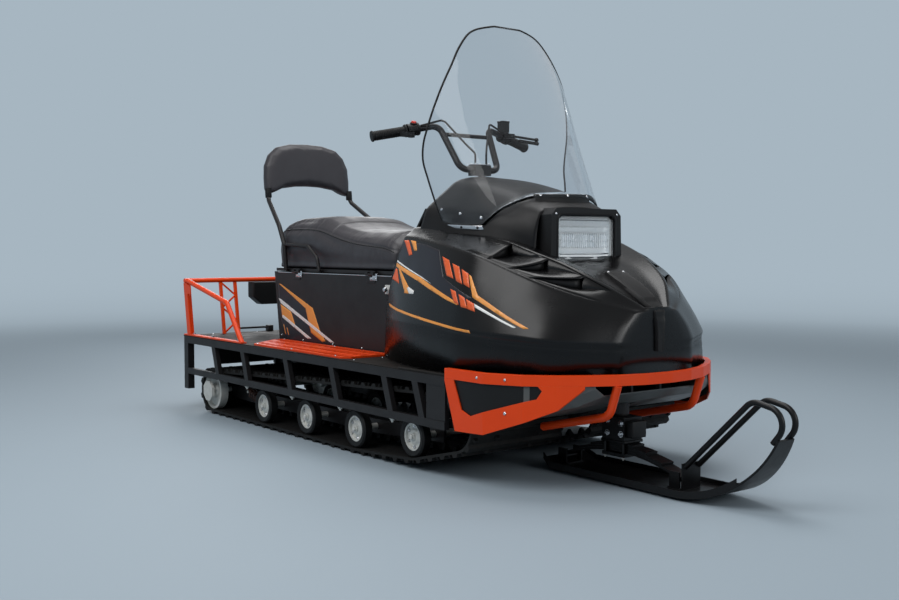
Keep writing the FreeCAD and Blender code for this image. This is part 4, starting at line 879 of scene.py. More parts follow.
@dataclass
class Seat:
    """Two-level cushion, sewn in panels, and the padded back."""

    half: float = 224.0
    # station, height of the top at the middle, height of its shoulder seam
    top: tuple = ((428, 756, 722), (470, 788, 752), (600, 797, 758), (720, 794, 752),
                  (800, 771, 736), (870, 754, 720), (960, 742, 704), (1090, 738, 690),
                  (1190, 734, 680), (1243, 705, 668))
    foot: float = 602.6
    # stations of the sewn cross seams, and how far they bow forward at the sides
    cross_seams: tuple = (486, 792, 1176)
    bow: float = 26.0
    # stations of the ends, how long their rounding is and how far it draws in
    ends: tuple = (418, 1246)
    rounding: float = 34.0
    tuck: float = 26.0
    # stations of the back's face at its foot and at its top, and the height of its middle
    lean: tuple = (250, 232)
    back_middle: float = 1015.0
    # depth behind the face and inset of the back's rows
    back_rows: tuple = ((2, 26), (5, 12), (12, 3), (26, 0), (40, 3), (48, 12), (52, 26))
    # how far the cover is drawn in along a shoulder seam and down along a cross seam, and half their widths
    shoulder_draw: tuple = (3.0, 5.0)
    cross_draw: tuple = (3.4, 5.5)

    def bowed(self, cross: float, y: float) -> float:
        """Gives the station of a cross seam at a distance from the middle."""
        return cross + self.bow * (y / self.half) ** 2

    def outline(self, station: float) -> Ring:
        """Gives one closed section across the cushion."""
        high, seam = smooth_row(self.top, station)
        near_end = min(station - self.ends[0], self.ends[1] - station)
        share = max(0.0, 1.0 - near_end / self.rounding)
        tuck = self.tuck * (1.0 - math.sqrt(max(0.0, 1.0 - share ** 2)))
        half = self.half - tuck
        crown = high - tuck * 0.9
        edge = seam - tuck * 0.4
        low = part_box("seat_cushion")[0].z / MM
        right = [(half - 22.0, low), (half - 5.0, low + 5.0), (half - 1.0, low + 26.0),
                 (half + 1.0, lerp(low, edge, 0.5)), (half - 3.0, edge - 14.0), (half - 8.0, edge),
                 (half - 26.0, lerp(edge, crown, 0.45)), (half - 64.0, lerp(edge, crown, 0.80)),
                 (half - 130.0, lerp(edge, crown, 0.97))]
        places = [spot(station, -y, z) for y, z in right] + [spot(station, 0.0, crown)]
        return places + [spot(station, y, z) for y, z in reversed(right)]

    def cushion(self) -> Piece:
        """Builds the long cushion."""
        stations = [419.0, 421.0, 425.0, 431.0, 440.0, 452.0] + [470.0 + 24.5 * i for i in range(31)]
        stations += [1222.0, 1232.0, 1239.0, 1243.0, 1245.0]
        piece = skinned("seat_cushion_cover", [self.outline(s) for s in stations], Finishes.SEAT_VINYL)
        low = (self.foot + 12.0) * MM
        Padding(most=7.0).swell(piece, lambda place: 0.0 if place.z < low else 1.0)
        self.press_seams(piece)
        return piece

    def press_seams(self, piece: Piece) -> None:
        """Draws the cover in along the shoulder seams and the cross seams."""
        (side, side_width), (down, down_width) = self.shoulder_draw, self.cross_draw
        for vert in piece.data.vertices:
            station = station_of(vert.co)
            _, seam = smooth_row(self.top, max(428.0, min(1243.0, station)))
            y, z = abs(vert.co.y) / MM, vert.co.z / MM
            if y > 170.0:
                vert.co.y -= math.copysign(side * MM * math.exp(-((z - seam) / side_width) ** 2), vert.co.y)
            if z > seam - 6.0:
                for cross in self.cross_seams:
                    vert.co.z -= down * MM * math.exp(-((station - self.bowed(cross, y)) / down_width) ** 2)

    def seam_paths(self) -> list[Ring]:
        """Gives the lines of the shoulder seams, one for each side."""
        stations = [436.0 + 800.0 * i / 59 for i in range(60)]
        return [[spot(s, hand * (self.half - 4.5), smooth_row(self.top, s)[1]) for s in stations]
                for hand in (-1, 1)]

    def build(self) -> Piece:
        """Builds the cushion and the back, lets them ride on the seat and gives the cushion."""
        cushion = self.cushion()
        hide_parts("seat_cushion")
        mount(cushion, "seat")
        back = self.back()
        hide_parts("backrest_pad")
        mount(back, "seat")
        return cushion

    def back(self) -> Piece:
        """Builds the padded back: flat face, rounded rim, lower edge arched up in the middle."""
        low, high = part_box("backrest_pad")
        outline = [(-207, 922), (-196, 904), (-176, 908), (-130, 922), (-60, 932), (0, 934), (60, 932), (130, 922),
                   (176, 908), (196, 904), (207, 922), (208, 970), (205, 1022), (184, 1070), (146, 1104), (80, 1121),
                   (0, 1125), (-80, 1121), (-146, 1104), (-184, 1070), (-205, 1022), (-208, 970)]
        bm = bmesh.new()
        rings = []
        middle = Vector((0.0, self.back_middle))
        for depth, shrink in self.back_rows:
            ring = []
            for y, z in outline:
                place = Vector((y, z))
                place += (middle - place).normalized() * shrink
                ring.append(spot(lerp(*self.lean, (z - 895.0) / 245.0) + depth, *place))
            rings.append(ring)
        grid = skin(bm, rings, caps=False)
        for ring, level in ((grid[0], 0.0), (grid[-1], 54.0)):
            hub = bm.verts.new(spot(lerp(*self.lean, 0.5) + level, 0.0, self.back_middle))
            for a, b in zip(ring, ring[1:] + ring[:1]):
                bm.faces.new((a, b, hub))
        piece = from_bmesh("backrest_pad_cover", bm, Finishes.SEAT_VINYL)
        Padding(most=5.0).swell(piece, lambda place: 1.0)
        for vert in piece.data.vertices:
            vert.co.x = max(low.x - 0.004, min(high.x + 0.004, vert.co.x))
        return piece


# ---------------------------------------------------------------- hood and cowl
@dataclass
class Hood:
    """Glossy hood shell with stepped air inlets on each shoulder."""

    # station, foot y, waist y and z, shoulder y and z, crest y and z, ridge z
    rows: tuple = (
        (1230, 262, 262, 450, 262, 716, 240, 735, 742),
        (1500, 380, 384, 452, 316, 712, 270, 745, 756),
        (1830, 426, 424, 445, 356, 664, 236, 706, 700),
        (1960, 408, 406, 437, 326, 618, 214, 668, 636),
        (2050, 380, 376, 432, 288, 580, 180, 634, 610),
        (2150, 312, 309, 424, 206, 536, 132, 580, 562),
        (2236, 158, 156, 414, 88, 500, 50, 512, 506),
    )
    corner_steps: int = 6
    thick: float = 3.2
    rear_rows: int = 12
    scoop_rows: int = 26
    rear_end: float = 1500.0
    # stations of the nose ahead of the scoops, and how far its last edge is rounded
    nose: tuple = (2190, 2202, 2214, 2226, 2236)
    nose_round: float = 8.0
    # lips of the three inlets: station outboard, station inboard, drop
    lips: tuple = ((1897, 1884, 38), (1966, 2010, 34), (2028, 2115, 45))
    scoop: tuple = (1800, 2178)
    # the cowl covers the shell up to this station, from this height and this far inside its foot
    cowl_front: float = 1895.0
    cowl_low: float = 600.0
    lap: float = 22.0
    # how far a panel starts under the lip behind it, and how far its grille is set back
    overlap: float = 16.0
    setback: float = 13.0

    def ring(self, station: float) -> Ring:
        """Gives the right half of a section, from the foot up to the middle."""
        foot, waist, waist_z, out, out_z, crest, crest_z, ridge = smooth_row(self.rows, station)
        nip = max(0.0, min(1.0, (station - 1790.0) / 130.0))
        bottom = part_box("hood_shell")[0].z / MM
        valley = crest * 0.62
        rim = crest * 0.30
        sink = 10.0 * max(0.0, min(1.0, (station - 1960.0) / 80.0))
        corners = [(foot - 1.0, bottom, 0.0), (waist - 7.0 * nip - 1.0, waist_z - 12.0, 8.0), (waist, waist_z, 9.0),
                   (lerp(waist, out, 0.5) + 9.0, lerp(waist_z, out_z, 0.5), 90.0), (out, out_z, 8.0),
                   (lerp(out, crest, 0.5), lerp(out_z, crest_z, 0.5) - 3.0, 40.0), (crest, crest_z, 8.0),
                   (valley, lerp(crest_z, ridge, 0.5) - sink, 24.0), (rim, ridge - 3.0, 12.0), (0.0, ridge, 0.0)]
        half = arc_corners([Vector((y, z, 0.0)) for y, z, _ in corners], [reach for _, _, reach in corners[1:-1]],
                           steps=self.corner_steps)
        return [spot(station, -p.x, p.y) for p in half]

    def index(self, corner: int, end: bool) -> int:
        """Gives the place in a ring where the rounding of a corner starts or ends."""
        return 1 + (corner - 1) * (self.corner_steps + 1) + (self.corner_steps if end else 0)

    def rear_station(self, z: float) -> float:
        """Gives the station of the leaning rear edge at a height."""
        if z < 716.0:
            return 1284.0 + 150.0 * (z - 305.5) / 410.5
        return 1434.0 + 40.0 * (z - 716.0) / 284.0

    def column(self, share: float) -> Ring:
        """Gives a row of places between the rear edge and the upright rows."""
        return [self.ring(lerp(self.rear_station(place.z / MM), self.rear_end, share))[k]
                for k, place in enumerate(self.ring(1430.0))]

    def covered(self, place: Vector) -> bool:
        """Tells whether a place lies under the cowl."""
        station = station_of(place)
        foot = smooth_row(Cowl.rows, max(Cowl.rows[0][0], station))[0]
        return (station <= self.cowl_front and abs(place.y) / MM < foot - self.lap
                and place.z / MM > self.cowl_low)

    def lip(self, number: int, share: float) -> float:
        """Gives the station of an inlet's lip, or of the scoop's ends, at a share of the way inboard."""
        if number < 0:
            return self.scoop[0]
        if number >= len(self.lips):
            return self.scoop[1]
        outboard, inboard, _ = self.lips[number]
        return lerp(outboard, inboard, share ** 0.8)

    def across(self) -> tuple[int, int]:
        """Gives where the stepped panels start and end in a ring."""
        return self.index(4, True), self.index(6, False)

    def panel_rows(self, number: int, steps: int = 8) -> list[Ring]:
        """Gives the rows of one stepped panel, from under the lip behind it to its own lip."""
        first, last = self.across()
        drop = self.lips[number - 1][2] if number > 0 else 0.0
        rows = []
        for i in range(steps + 1):
            share = i / steps
            row = []
            for k in range(first, last + 1):
                inboard = (k - first) / (last - first)
                behind = self.lip(number - 1, inboard) - (self.overlap if number > 0 else 0.0)
                station = lerp(behind, self.lip(number, inboard), share)
                place = self.ring(station)[k]
                place.z -= drop * MM * inboard ** 0.7 * (1.0 - share) ** 1.2
                row.append(place)
            rows.append(row)
        return rows

    def shell(self) -> Piece:
        """Builds the shell with its stepped scoops."""
        first, last = self.across()
        stations = [self.rear_end + 15.0 * i for i in range(1, 21)]
        start = self.rear_rows + len(stations)
        stations += [self.scoop[0] + (self.scoop[1] - self.scoop[0]) * i / self.scoop_rows
                     for i in range(1, self.scoop_rows + 1)]
        rows = [self.column(i / self.rear_rows) for i in range(self.rear_rows + 1)]
        rows += [self.ring(s) for s in (*stations, *self.nose)]
        nose = rows[-1]
        for turn in (25.0, 50.0, 70.0, 90.0):
            a = math.radians(turn)
            rows.append([Vector((p.x + self.nose_round * MM * math.sin(a), p.y * math.cos(a), p.z)) for p in nose])
        bm = bmesh.new()
        grid = [[bm.verts.new(place) for place in row] for row in rows]
        for i, (near, far) in enumerate(zip(grid, grid[1:])):
            for k in range(len(near) - 1):
                corners = (near[k], near[k + 1], far[k + 1], far[k])
                in_scoop = start <= i < start + self.scoop_rows and first <= k < last
                if not in_scoop and not all(self.covered(vert.co) for vert in corners):
                    bm.faces.new(corners)
        for number in range(len(self.lips) + 1):
            skin(bm, self.panel_rows(number), closed=False)
        self.inner_wall(bm, last)
        bmesh.ops.delete(bm, geom=[v for v in bm.verts if not v.link_faces], context="VERTS")
        copy = bmesh.ops.duplicate(bm, geom=bm.verts[:] + bm.edges[:] + bm.faces[:])["geom"]
        bmesh.ops.scale(bm, vec=(1, -1, 1), verts=[g for g in copy if isinstance(g, bmesh.types.BMVert)])
        bmesh.ops.reverse_faces(bm, faces=[g for g in copy if isinstance(g, bmesh.types.BMFace)])
        bmesh.ops.remove_doubles(bm, verts=bm.verts, dist=2e-4)
        bmesh.ops.dissolve_degenerate(bm, edges=bm.edges, dist=1e-5)
        return new_piece("hood_cover", to_mesh("hood_cover", bm), Finishes.HOOD_ABS, 40.0)

    def inner_wall(self, bm: bmesh.types.BMesh, edge: int) -> None:
        """Adds the upright wall along the inboard side of the stepped panels."""
        for number in range(1, len(self.lips) + 1):
            rows = [[row[-1].copy(), self.top_edge(row[-1], edge)] for row in self.panel_rows(number)]
            skin(bm, rows, closed=False)

    def top_edge(self, place: Vector, edge: int) -> Vector:
        """Gives the place on the crest's outer edge at the station of another place."""
        return self.ring(station_of(place))[edge]

    def grilles(self) -> Piece:
        """Builds the dark mesh set back under each lip."""
        first, last = self.across()
        bm = bmesh.new()
        for number, (_, _, drop) in enumerate(self.lips):
            rows = []
            for k in range(first, last + 1):
                inboard = (k - first) / (last - first)
                place = self.ring(self.lip(number, inboard) - self.setback)[k]
                rows.append((place, place - Vector((0, 0, (drop * inboard ** 0.7 + 2.0) * MM))))
            for hand in (1.0, -1.0):
                skin(bm, [[Vector((p.x, p.y * hand, p.z)) for p in row] for row in rows], closed=False)
        return wall(from_bmesh("inlet_grilles", bm, Finishes.MOULDED), 1.5)

    def build(self) -> Piece:
        """Builds the shell and its inlet grilles, and lets them ride on the hood."""
        piece = wall(self.shell(), self.thick)
        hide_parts("hood_shell")
        mount(piece, "hood")
        mount(self.grilles(), "hood")
        return piece


@dataclass
class Cowl:
    """Satin upper cowl that carries the windshield and the headlight."""

    bulkheads: tuple = (1500.0, 1890.0)
    thick: float = 3.5
    # station, foot y and z, side y and z, top y and z, height at the middle
    rows: ClassVar[tuple] = (
        (1478, 292, 700, 258, 806, 128, 905, 922),
        (1650, 290, 690, 252, 790, 140, 880, 898),
        (1830, 236, 660, 210, 764, 146, 828, 846),
        (1912, 172, 610, 166, 720, 152, 790, 804),
    )

    def ring(self, station: float) -> Ring:
        """Gives a whole section, from the right foot over to the left one."""
        foot, foot_z, side, side_z, top, top_z, middle_z = smooth_row(self.rows, station)
        right = [(foot, foot_z - 10.0), (foot, foot_z), (side, side_z), (top, top_z), (top * 0.4, middle_z - 2.0)]
        corners = [spot(station, -y, z) for y, z in right] + [spot(station, y, z) for y, z in reversed(right)]
        reaches = (3.0, 26.0, 30.0, 50.0)
        return arc_corners(corners, [reach * MM for reach in (*reaches, *reversed(reaches))])

    def build(self) -> Piece:
        """Builds the cowl and lets it ride on the hood."""
        bm = bmesh.new()
        skin(bm, [self.ring(self.rows[0][0] + 434.0 * i / 40) for i in range(41)], closed=False)
        for station in self.bulkheads:
            bm.faces.new([bm.verts.new(p) for p in self.ring(station)])
        piece = wall(from_bmesh("cowl_cover", bm, Finishes.COWL_ABS, 50.0), self.thick)
        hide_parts("upper_cowl")
        mount(piece, "hood")


# ---------------------------------------------------------------- shapes set out many times
@dataclass(frozen=True)
class Spot:
    """Where one copy of a stamp goes: its foot, the way it stands, the way it lies and its scale."""

    place: Vector
    stand: Vector
    lie: Vector
    size: float = 1.0


@dataclass(frozen=True)
class Stamp:
    """A small shape that is set out many times: many-sided rounds stacked one on another."""

    name: str
    # sides, lower radius, upper radius and height of each round, in millimetres at a scale of one
    rounds: tuple[tuple[int, float, float, float], ...]
    stretch: tuple[float, float, float] = (1.0, 1.0, 1.0)
    turn: float = 0.0
    # what each point carries, and as what
    MARKS: ClassVar[tuple] = (("stand", "FLOAT_VECTOR"), ("lie", "FLOAT_VECTOR"), ("size", "FLOAT"))

    def tree(self) -> bpy.types.NodeTree:
        """Builds the node tree that stands a copy on every point.

        Returns:
            A tree with the shape's stretch, turn and finish as named inputs.
        """
        tree = bpy.data.node_groups.new(self.name, "GeometryNodeTree")
        face = tree.interface
        for label, kind in (("Points", "NodeSocketGeometry"), ("Stretch", "NodeSocketVector"),
                            ("Turn", "NodeSocketFloat"), ("Finish", "NodeSocketMaterial")):
            face.new_socket(label, in_out="INPUT", socket_type=kind)
        face.new_socket("Copies", in_out="OUTPUT", socket_type="NodeSocketGeometry")
        given = add_node(tree, "NodeGroupInput")
        stack = add_node(tree, "GeometryNodeJoinGeometry")
        height = 0.0
        for sides, lower, upper, rise in self.rounds:
            made = add_node(tree, "GeometryNodeMeshCone", {"Vertices": sides, "Radius Bottom": lower * MM,
                                                           "Radius Top": upper * MM, "Depth": rise * MM})
            lifted = add_node(tree, "GeometryNodeTransform", {"Geometry": made.outputs[0],
                                                              "Translation": (0.0, 0.0, height * MM)})
            tree.links.new(lifted.outputs[0], stack.inputs[0])
            height += rise
        spun = add_node(tree, "ShaderNodeCombineXYZ", {"Z": given.outputs["Turn"]})
        for socket, value in (("Rotation", spun.outputs[0]), ("Scale", given.outputs["Stretch"])):
            stack = add_node(tree, "GeometryNodeTransform", {"Geometry": stack.outputs[0], socket: value})
        stand, lie, size = (add_node(tree, "GeometryNodeInputNamedAttribute", {"Name": label}, data_type=kind)
                            for label, kind in self.MARKS)
        first = add_node(tree, "FunctionNodeAlignRotationToVector", {"Vector": lie.outputs[0]}, axis="X")
        both = add_node(tree, "FunctionNodeAlignRotationToVector",
                        {"Rotation": first.outputs[0], "Vector": stand.outputs[0]}, axis="Z", pivot_axis="X")
        copies = add_node(tree, "GeometryNodeInstanceOnPoints",
                          {"Points": given.outputs["Points"], "Instance": stack.outputs[0],
                           "Rotation": both.outputs[0], "Scale": size.outputs[0]})
        real = add_node(tree, "GeometryNodeRealizeInstances", {"Geometry": copies.outputs[0]})
        done = add_node(tree, "GeometryNodeSetMaterial", {"Geometry": real.outputs[0],
                                                          "Material": given.outputs["Finish"]})
        add_node(tree, "NodeGroupOutput", {"Copies": done.outputs[0]})
        return tree

    def set_out(self, name: str, spots: Sequence[Spot], finish: Finish, angle: float = 30.0) -> Piece:
        """Sets out copies as one piece.

        Args:
            name: the piece's name.
            spots: where the copies go.
            finish: what they are made of.
            angle: edges bent by less than this many degrees are shaded smooth.

        Returns:
            The piece, as a plain mesh.
        """
        points = bpy.data.meshes.new(name)
        points.from_pydata([s.place for s in spots], [], [])
        for label, kind in self.MARKS:
            column = [getattr(s, label) for s in spots]
            marks = points.attributes.new(label, kind, "POINT").data
            if kind == "FLOAT":
                marks.foreach_set("value", column)
            else:
                marks.foreach_set("vector", [number for way in column for number in way.normalized()])
        carrier = link(name + "_points", points)
        tree = self.tree()
        modifier = modify(carrier, "NODES", node_group=tree)
        values = {"Stretch": self.stretch, "Turn": math.radians(self.turn), "Finish": FINISHES.get(finish)}
        for socket in tree.interface.items_tree:
            if socket.in_out == "INPUT" and socket.name in values:
                modifier[socket.identifier] = values[socket.name]
        mesh = baked(carrier)
        bpy.data.objects.remove(carrier)
        mesh.name = name
        for label, _ in self.MARKS:
            if label in mesh.attributes:
                mesh.attributes.remove(mesh.attributes[label])
        return new_piece(name, mesh, finish, angle)


class Head(Enum):
    """Fastener heads; across the flats or across the dome they measure one millimetre."""

    HEX = Stamp("hexagon_heads", ((18, 0.86, 0.86, 0.10), (6, 0.577, 0.577, 0.46), (6, 0.577, 0.46, 0.10)))
    NUT = Stamp("nuts_on_studs", ((18, 0.86, 0.86, 0.10), (6, 0.577, 0.577, 0.42), (6, 0.577, 0.48, 0.08),
                                  (10, 0.30, 0.30, 0.34), (10, 0.30, 0.20, 0.06)))
    DOME = Stamp("domed_heads", ((16, 0.50, 0.48, 0.10), (16, 0.48, 0.38, 0.12), (16, 0.38, 0.16, 0.08)))


@dataclass
class Fasteners:
    """Bolts, nuts and rivets of the whole machine, gathered and then set out body by body."""

    spots: dict[tuple[str, Head, Finish], list[Spot]] = field(default_factory=dict)

    def add(self, body: str, head: Head, place: Vector, stand: Point, across: float,
            finish: Finish = Finishes.BRIGHT) -> None:
        """Adds one fastener.

        Args:
            body: the body that it is fixed to.
            head: its kind.
            place: where its seat is, in metres.
            stand: the way its head faces.
            across: its size across the flats, in millimetres.
            finish: its coat.
        """
        stand = Vector(stand)
        tip = place + stand.normalized() * (across * sum(row[3] for row in head.value.rounds) * MM)
        if any(not low - 1e-4 <= t <= high + 1e-4 for low, t, high in zip(CAD_BOX[0], tip, CAD_BOX[1])):
            return
        lie = stand.orthogonal()
        lie.rotate(Quaternion(stand.normalized(), 2.4 * len(self.spots.get((body, head, finish), []))))
        self.spots.setdefault((body, head, finish), []).append(Spot(place, stand, lie, across))

    def both(self, body: str, head: Head, station: float, y: float, z: float, stand: Point, across: float,
             finish: Finish = Finishes.BRIGHT) -> None:
        """Adds one fastener on the right and its mirror image on the left."""
        self.add(body, head, spot(station, -y, z), (stand[0], -stand[1], stand[2]), across, finish)
        self.add(body, head, spot(station, y, z), stand, across, finish)

    def build(self) -> None:
        """Sets out every fastener that was gathered."""
        for (body, head, finish), spots in self.spots.items():
            name = f"{body}_{head.name.lower()}_{finish.name.split('_')[0]}"
            mount(head.value.set_out(name, spots, finish), body)


# ---------------------------------------------------------------- windshield
@dataclass
class Shield:
    """Tall clear sheet wrapped round a leaning cone, with its edge bead, side strips and front bracket."""

    # height, station of the ring's centre, radius
    rings: tuple = ((720, 1662, 262), (788, 1620, 279), (900, 1542, 301),
                    (1010, 1469, 319), (1120, 1410, 331), (1248, 1342, 340),
                    (1440, 1206, 354.7))
    # height and station of the rear edge
    edge: tuple = ((720, 1592), (790, 1575), (850, 1561), (900, 1548), (955, 1534),
                   (1010, 1539), (1067, 1555), (1158, 1574), (1248, 1584), (1320, 1577.5),
                   (1348, 1574), (1370, 1572), (1384, 1574.4), (1391, 1578), (1398, 1581.3),
                   (1403, 1582.7), (1405, 1583.4), (1440, 1588))
    # angle from straight ahead in degrees and height of the lower edge
    foot: tuple = ((0, 836), (14, 835), (28, 830), (48, 796), (58, 768), (68, 742),
                   (100, 737))
    thick: float = 4.0
    bead: float = 3.6
    # the side strips: angles and heights of their rear and front ends
    strip_angles: tuple = (99, 66)
    strip_heights: tuple = (748, 741)
    # corners of the strips' section, from their height, and of the front bracket's, by height
    strip: tuple = ((-6.5, -0.5), (-6.5, 1.6), (-5.5, 2.2), (5.5, 2.2), (6.5, 1.6), (6.5, -0.5))
    bracket: tuple = ((806, -14), (806, -12), (826, -4.2), (846, -4.2), (846, -6.4), (824, -6.6))
    # how many faces the sheet has upwards and across
    faces: tuple = (60, 80)

    def place(self, z: float, angle: float, out: float = 0.0) -> Vector:
        """Gives a place on the sheet.

        Args:
            z: height in millimetres.
            angle: from straight ahead, in radians, rising to the left.
            out: distance outwards from the outer face.

        Returns:
            The place in metres.
        """
        centre, radius = smooth_row(self.rings, z)
        return spot(centre + (radius + out) * math.cos(angle), (radius + out) * math.sin(angle), z)

    def reach(self, z: float) -> float:
        """Gives the angle at which the sheet ends at a height."""
        centre, radius = smooth_row(self.rings, z)
        return math.acos(max(-1.0, min(1.0, (smooth_row(self.edge, z)[0] - centre) / radius)))

    def apex(self) -> float:
        """Gives the height at which the two rear edges meet."""
        low, high = 1300.0, 1430.0
        for _ in range(30):
            z = (low + high) / 2.0
            low, high = (z, high) if self.reach(z) > 0.0 else (low, z)
        return low

    def top(self) -> float:
        """Gives the height of the sheet's top, which leaves room for the bead."""
        return self.apex() - self.bead - 0.8

    def sheet(self) -> Piece:
        """Builds the clear sheet."""
        top = self.top()
        up, over = self.faces
        bm = bmesh.new()
        rows = []
        for i in range(up + 1):
            share = 1.0 - (1.0 - i / up) ** 2
            row = []
            for k in range(over + 1):
                across = math.sin((k / over - 0.5) * math.pi)
                z = 900.0
                for _ in range(4):
                    foot = smooth_row(self.foot, math.degrees(abs(across) * self.reach(z)))[0]
                    z = lerp(foot, top, share)
                row.append(self.place(z, across * max(self.reach(z) - 0.004, 0.0005)))
            rows.append(row)
        skin(bm, rows, closed=False)
        bmesh.ops.reverse_faces(bm, faces=bm.faces)
        piece = new_piece("shield_sheet", to_mesh("shield_sheet", bm), Finishes.SHIELD, 60.0)
        face = piece.data.polygons[200]
        if face.normal.dot(face.center - spot(1500.0, 0.0, 900.0)) < 0.0:
            piece.data.flip_normals()
        return wall(piece, self.thick)

    def edge_bead(self) -> Piece:
        """Builds the rubber bead that grips the sheet's rear edge."""
        top = self.top()
        heights = [lerp(770.0, top, 1.0 - (1.0 - i / 90) ** 2) for i in range(91)]
        right = [self.place(z, -self.reach(z), -self.thick / 2.0) for z in heights]
        left = [self.place(z, self.reach(z), -self.thick / 2.0) for z in reversed(heights[:-1])]
        return tube("shield_bead", right + left, self.bead, Finishes.RUBBER, 12)

    def band(self, name: str, angles: Point, heights: Point, section: Sequence[Point], finish: Look,
             hand: int = 1) -> Piece:
        """Builds a strip that follows the sheet.

        Args:
            name: the piece's name.
            angles: where it starts and ends, in degrees from straight ahead.
            heights: its height at the start and at the end.
            section: heights above that and distances outwards of its corners.
            finish: what it is made of.
            hand: 1 for the left side, -1 for the right.

        Returns:
            The strip.
        """
        rings = []
        for i in range(17):
            angle, z = math.radians(lerp(*angles, i / 16)) * hand, lerp(*heights, i / 16)
            rings.append([self.place(z + up, angle, out) for up, out in section])
        return skinned(name, rings, finish, 40.0)

    def fix(self, fasteners: Fasteners) -> None:
        """Adds the screws of the strips, the sides and the front."""
        middle = spot(1560.0, 0.0, 780.0)
        for hand in (-1, 1):
            for angle in (96.0, 83.0, 70.0):
                turn = math.radians(angle) * hand
                z = lerp(*self.strip_heights, (self.strip_angles[0] - angle) / 33.0)
                place = self.place(z, turn, 2.0)
                out = Vector((math.cos(turn), math.sin(turn), 0.15))
                fasteners.add("hood", Head.DOME, place, out, 9.0, Finishes.SKI_STEEL)
            for angle, z in ((93.0, 801.0), (78.0, 786.0), (64.0, 772.0)):
                turn = math.radians(angle) * hand
                place = self.place(z, turn)
                fasteners.add("hood", Head.DOME, place, place - Vector((middle.x, 0.0, place.z)), 10.0)
        for angle in (-20.0, 0.0, 20.0):
            turn = math.radians(angle)
            fasteners.add("hood", Head.DOME, self.place(842.0, turn), (math.cos(turn), math.sin(turn), 0.3), 9.0)

    def build(self, fasteners: Fasteners) -> None:
        """Builds the sheet and its fixings, and lets them ride on the hood."""
        sheet = self.sheet()
        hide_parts("windshield")
        mount(sheet, "hood")
        bead = self.edge_bead()
        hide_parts("windshield_edge_bead")
        mount(bead, "hood")
        for side, hand in (("right", -1), ("left", 1)):
            mount(self.band(f"shield_strip_{side}", self.strip_angles, self.strip_heights, self.strip,
                            Finishes.BRIGHT, hand), "hood")
        mount(self.band("shield_front_bracket", (-24.0, 24.0), (0.0, 0.0), self.bracket, Finishes.MOULDED),
              "hood")
        self.fix(fasteners)


